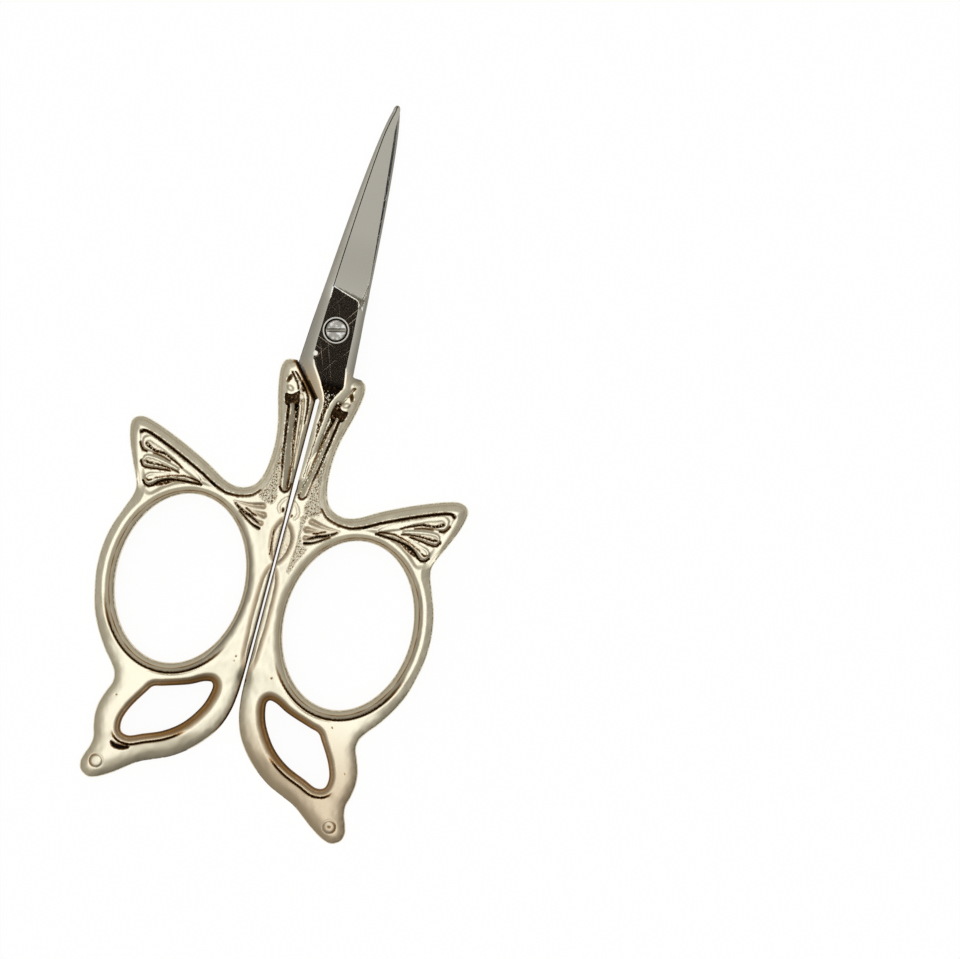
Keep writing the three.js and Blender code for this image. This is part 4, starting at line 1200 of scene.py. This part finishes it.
def buildFloor():
    s = studio
    bpy.ops.mesh.primitive_plane_add(size=s["floorSize"], location=(0, 0, -0.05 * mm))
    floor = bpy.context.object
    floor.name = "floor"
    material = bpy.data.materials.new("white_paper_sweep")
    material.use_nodes = True
    tree = material.node_tree
    tree.nodes.clear()
    seen = 0.0
    for label in ("Is Camera Ray", "Is Glossy Ray", "Is Transmission Ray"):
        ray = addNode(tree, "ShaderNodeLightPath", out=label)
        seen = calc(tree, "MAXIMUM", seen, ray)
    glow = calc(tree, "MULTIPLY", seen, s["floorGlow"])
    paper = addNode(tree, "ShaderNodeBsdfDiffuse", {"Color": srgb(s["floorColour"])})
    light = addNode(tree, "ShaderNodeEmission", {"Color": (1, 1, 1, 1), "Strength": s["floorStrength"]})
    mix = addNode(tree, "ShaderNodeMixShader", {"Fac": glow, 1: paper, 2: light})
    addNode(tree, "ShaderNodeOutputMaterial", {"Surface": mix})
    floor.data.materials.append(material)


def buildTent():
    s = studio
    world = bpy.data.worlds.new("light_tent")
    bpy.context.scene.world = world
    world.use_nodes = True
    tree = world.node_tree
    tree.nodes.clear()
    direction = addNode(tree, "ShaderNodeTexCoord", out="Generated")
    height = addNode(tree, "ShaderNodeSeparateXYZ", {"Vector": direction}, out="Z")
    angle = calc(tree, "ARCCOSINE", height)
    share = calc(tree, "DIVIDE", angle, math.pi / 2)
    brightest = max(level for degrees, level in s["sky"])
    skies = []
    for low in (s["farSky"], s["nearSky"]):
        sky = addNode(tree, "ShaderNodeValToRGB", {"Fac": share})
        marks = sky.node.color_ramp.elements
        for k, (degrees, level) in enumerate(s["sky"] + low):
            mark = marks[k] if k < 2 else marks.new(1)
            mark.position = degrees / 90
            dim = float(ramp(1.45, 0.45, level))
            mark.color = (*[level / brightest * (a + (b - a) * dim) for a, b in zip(s["cool"], s["warm"])], 1)
        skies.append(sky)
    # share of the near side: direction over the ground against the way to the near side
    ground = addNode(tree, "ShaderNodeVectorMath", {0: direction, 1: (1, 1, 0)}, operation="MULTIPLY")
    ground = addNode(tree, "ShaderNodeVectorMath", {0: ground}, operation="NORMALIZE")
    facing = addNode(tree, "ShaderNodeVectorMath", {0: ground, 1: s["near"]}, out="Value",
                     operation="DOT_PRODUCT")
    nearShare = ranged(tree, facing, *s["nearFrom"])
    colour = blended(tree, nearShare, *skies)
    tent = addNode(tree, "ShaderNodeBackground", {"Color": colour, "Strength": brightest})
    white = addNode(tree, "ShaderNodeBackground", {"Color": (1, 1, 1, 1), "Strength": 1.0})
    seen = addNode(tree, "ShaderNodeLightPath", out="Is Camera Ray")
    shown = addNode(tree, "ShaderNodeMixShader", {"Fac": seen, 1: tent, 2: white})
    addNode(tree, "ShaderNodeOutputWorld", {"Surface": shown})


buildFloor()
buildTent()


# camera: straight above, turned so that the scissors lie as photographed

camera = dict(
    centre=(27.65, -16.74),  # point of the table at the middle of the picture
    viewWidth=149.74,  # millimetres across the picture
    roll=14.83,
    distance=1.5,
)


def buildCamera():
    c = camera
    data = bpy.data.cameras.new("camera")
    data.sensor_width = 36
    data.lens = 36 * (c["distance"] - 3 * mm) / (c["viewWidth"] * mm)
    data.clip_end = 20
    eye = bpy.data.objects.new("camera", data)
    bpy.context.scene.collection.objects.link(eye)
    eye.location = (c["centre"][0] * mm, c["centre"][1] * mm, c["distance"])
    eye.rotation_euler = (0, 0, math.radians(c["roll"]))
    bpy.context.scene.camera = eye


buildCamera()
bpy.context.scene.view_settings.view_transform = "Standard"
print("studio and camera are ready")
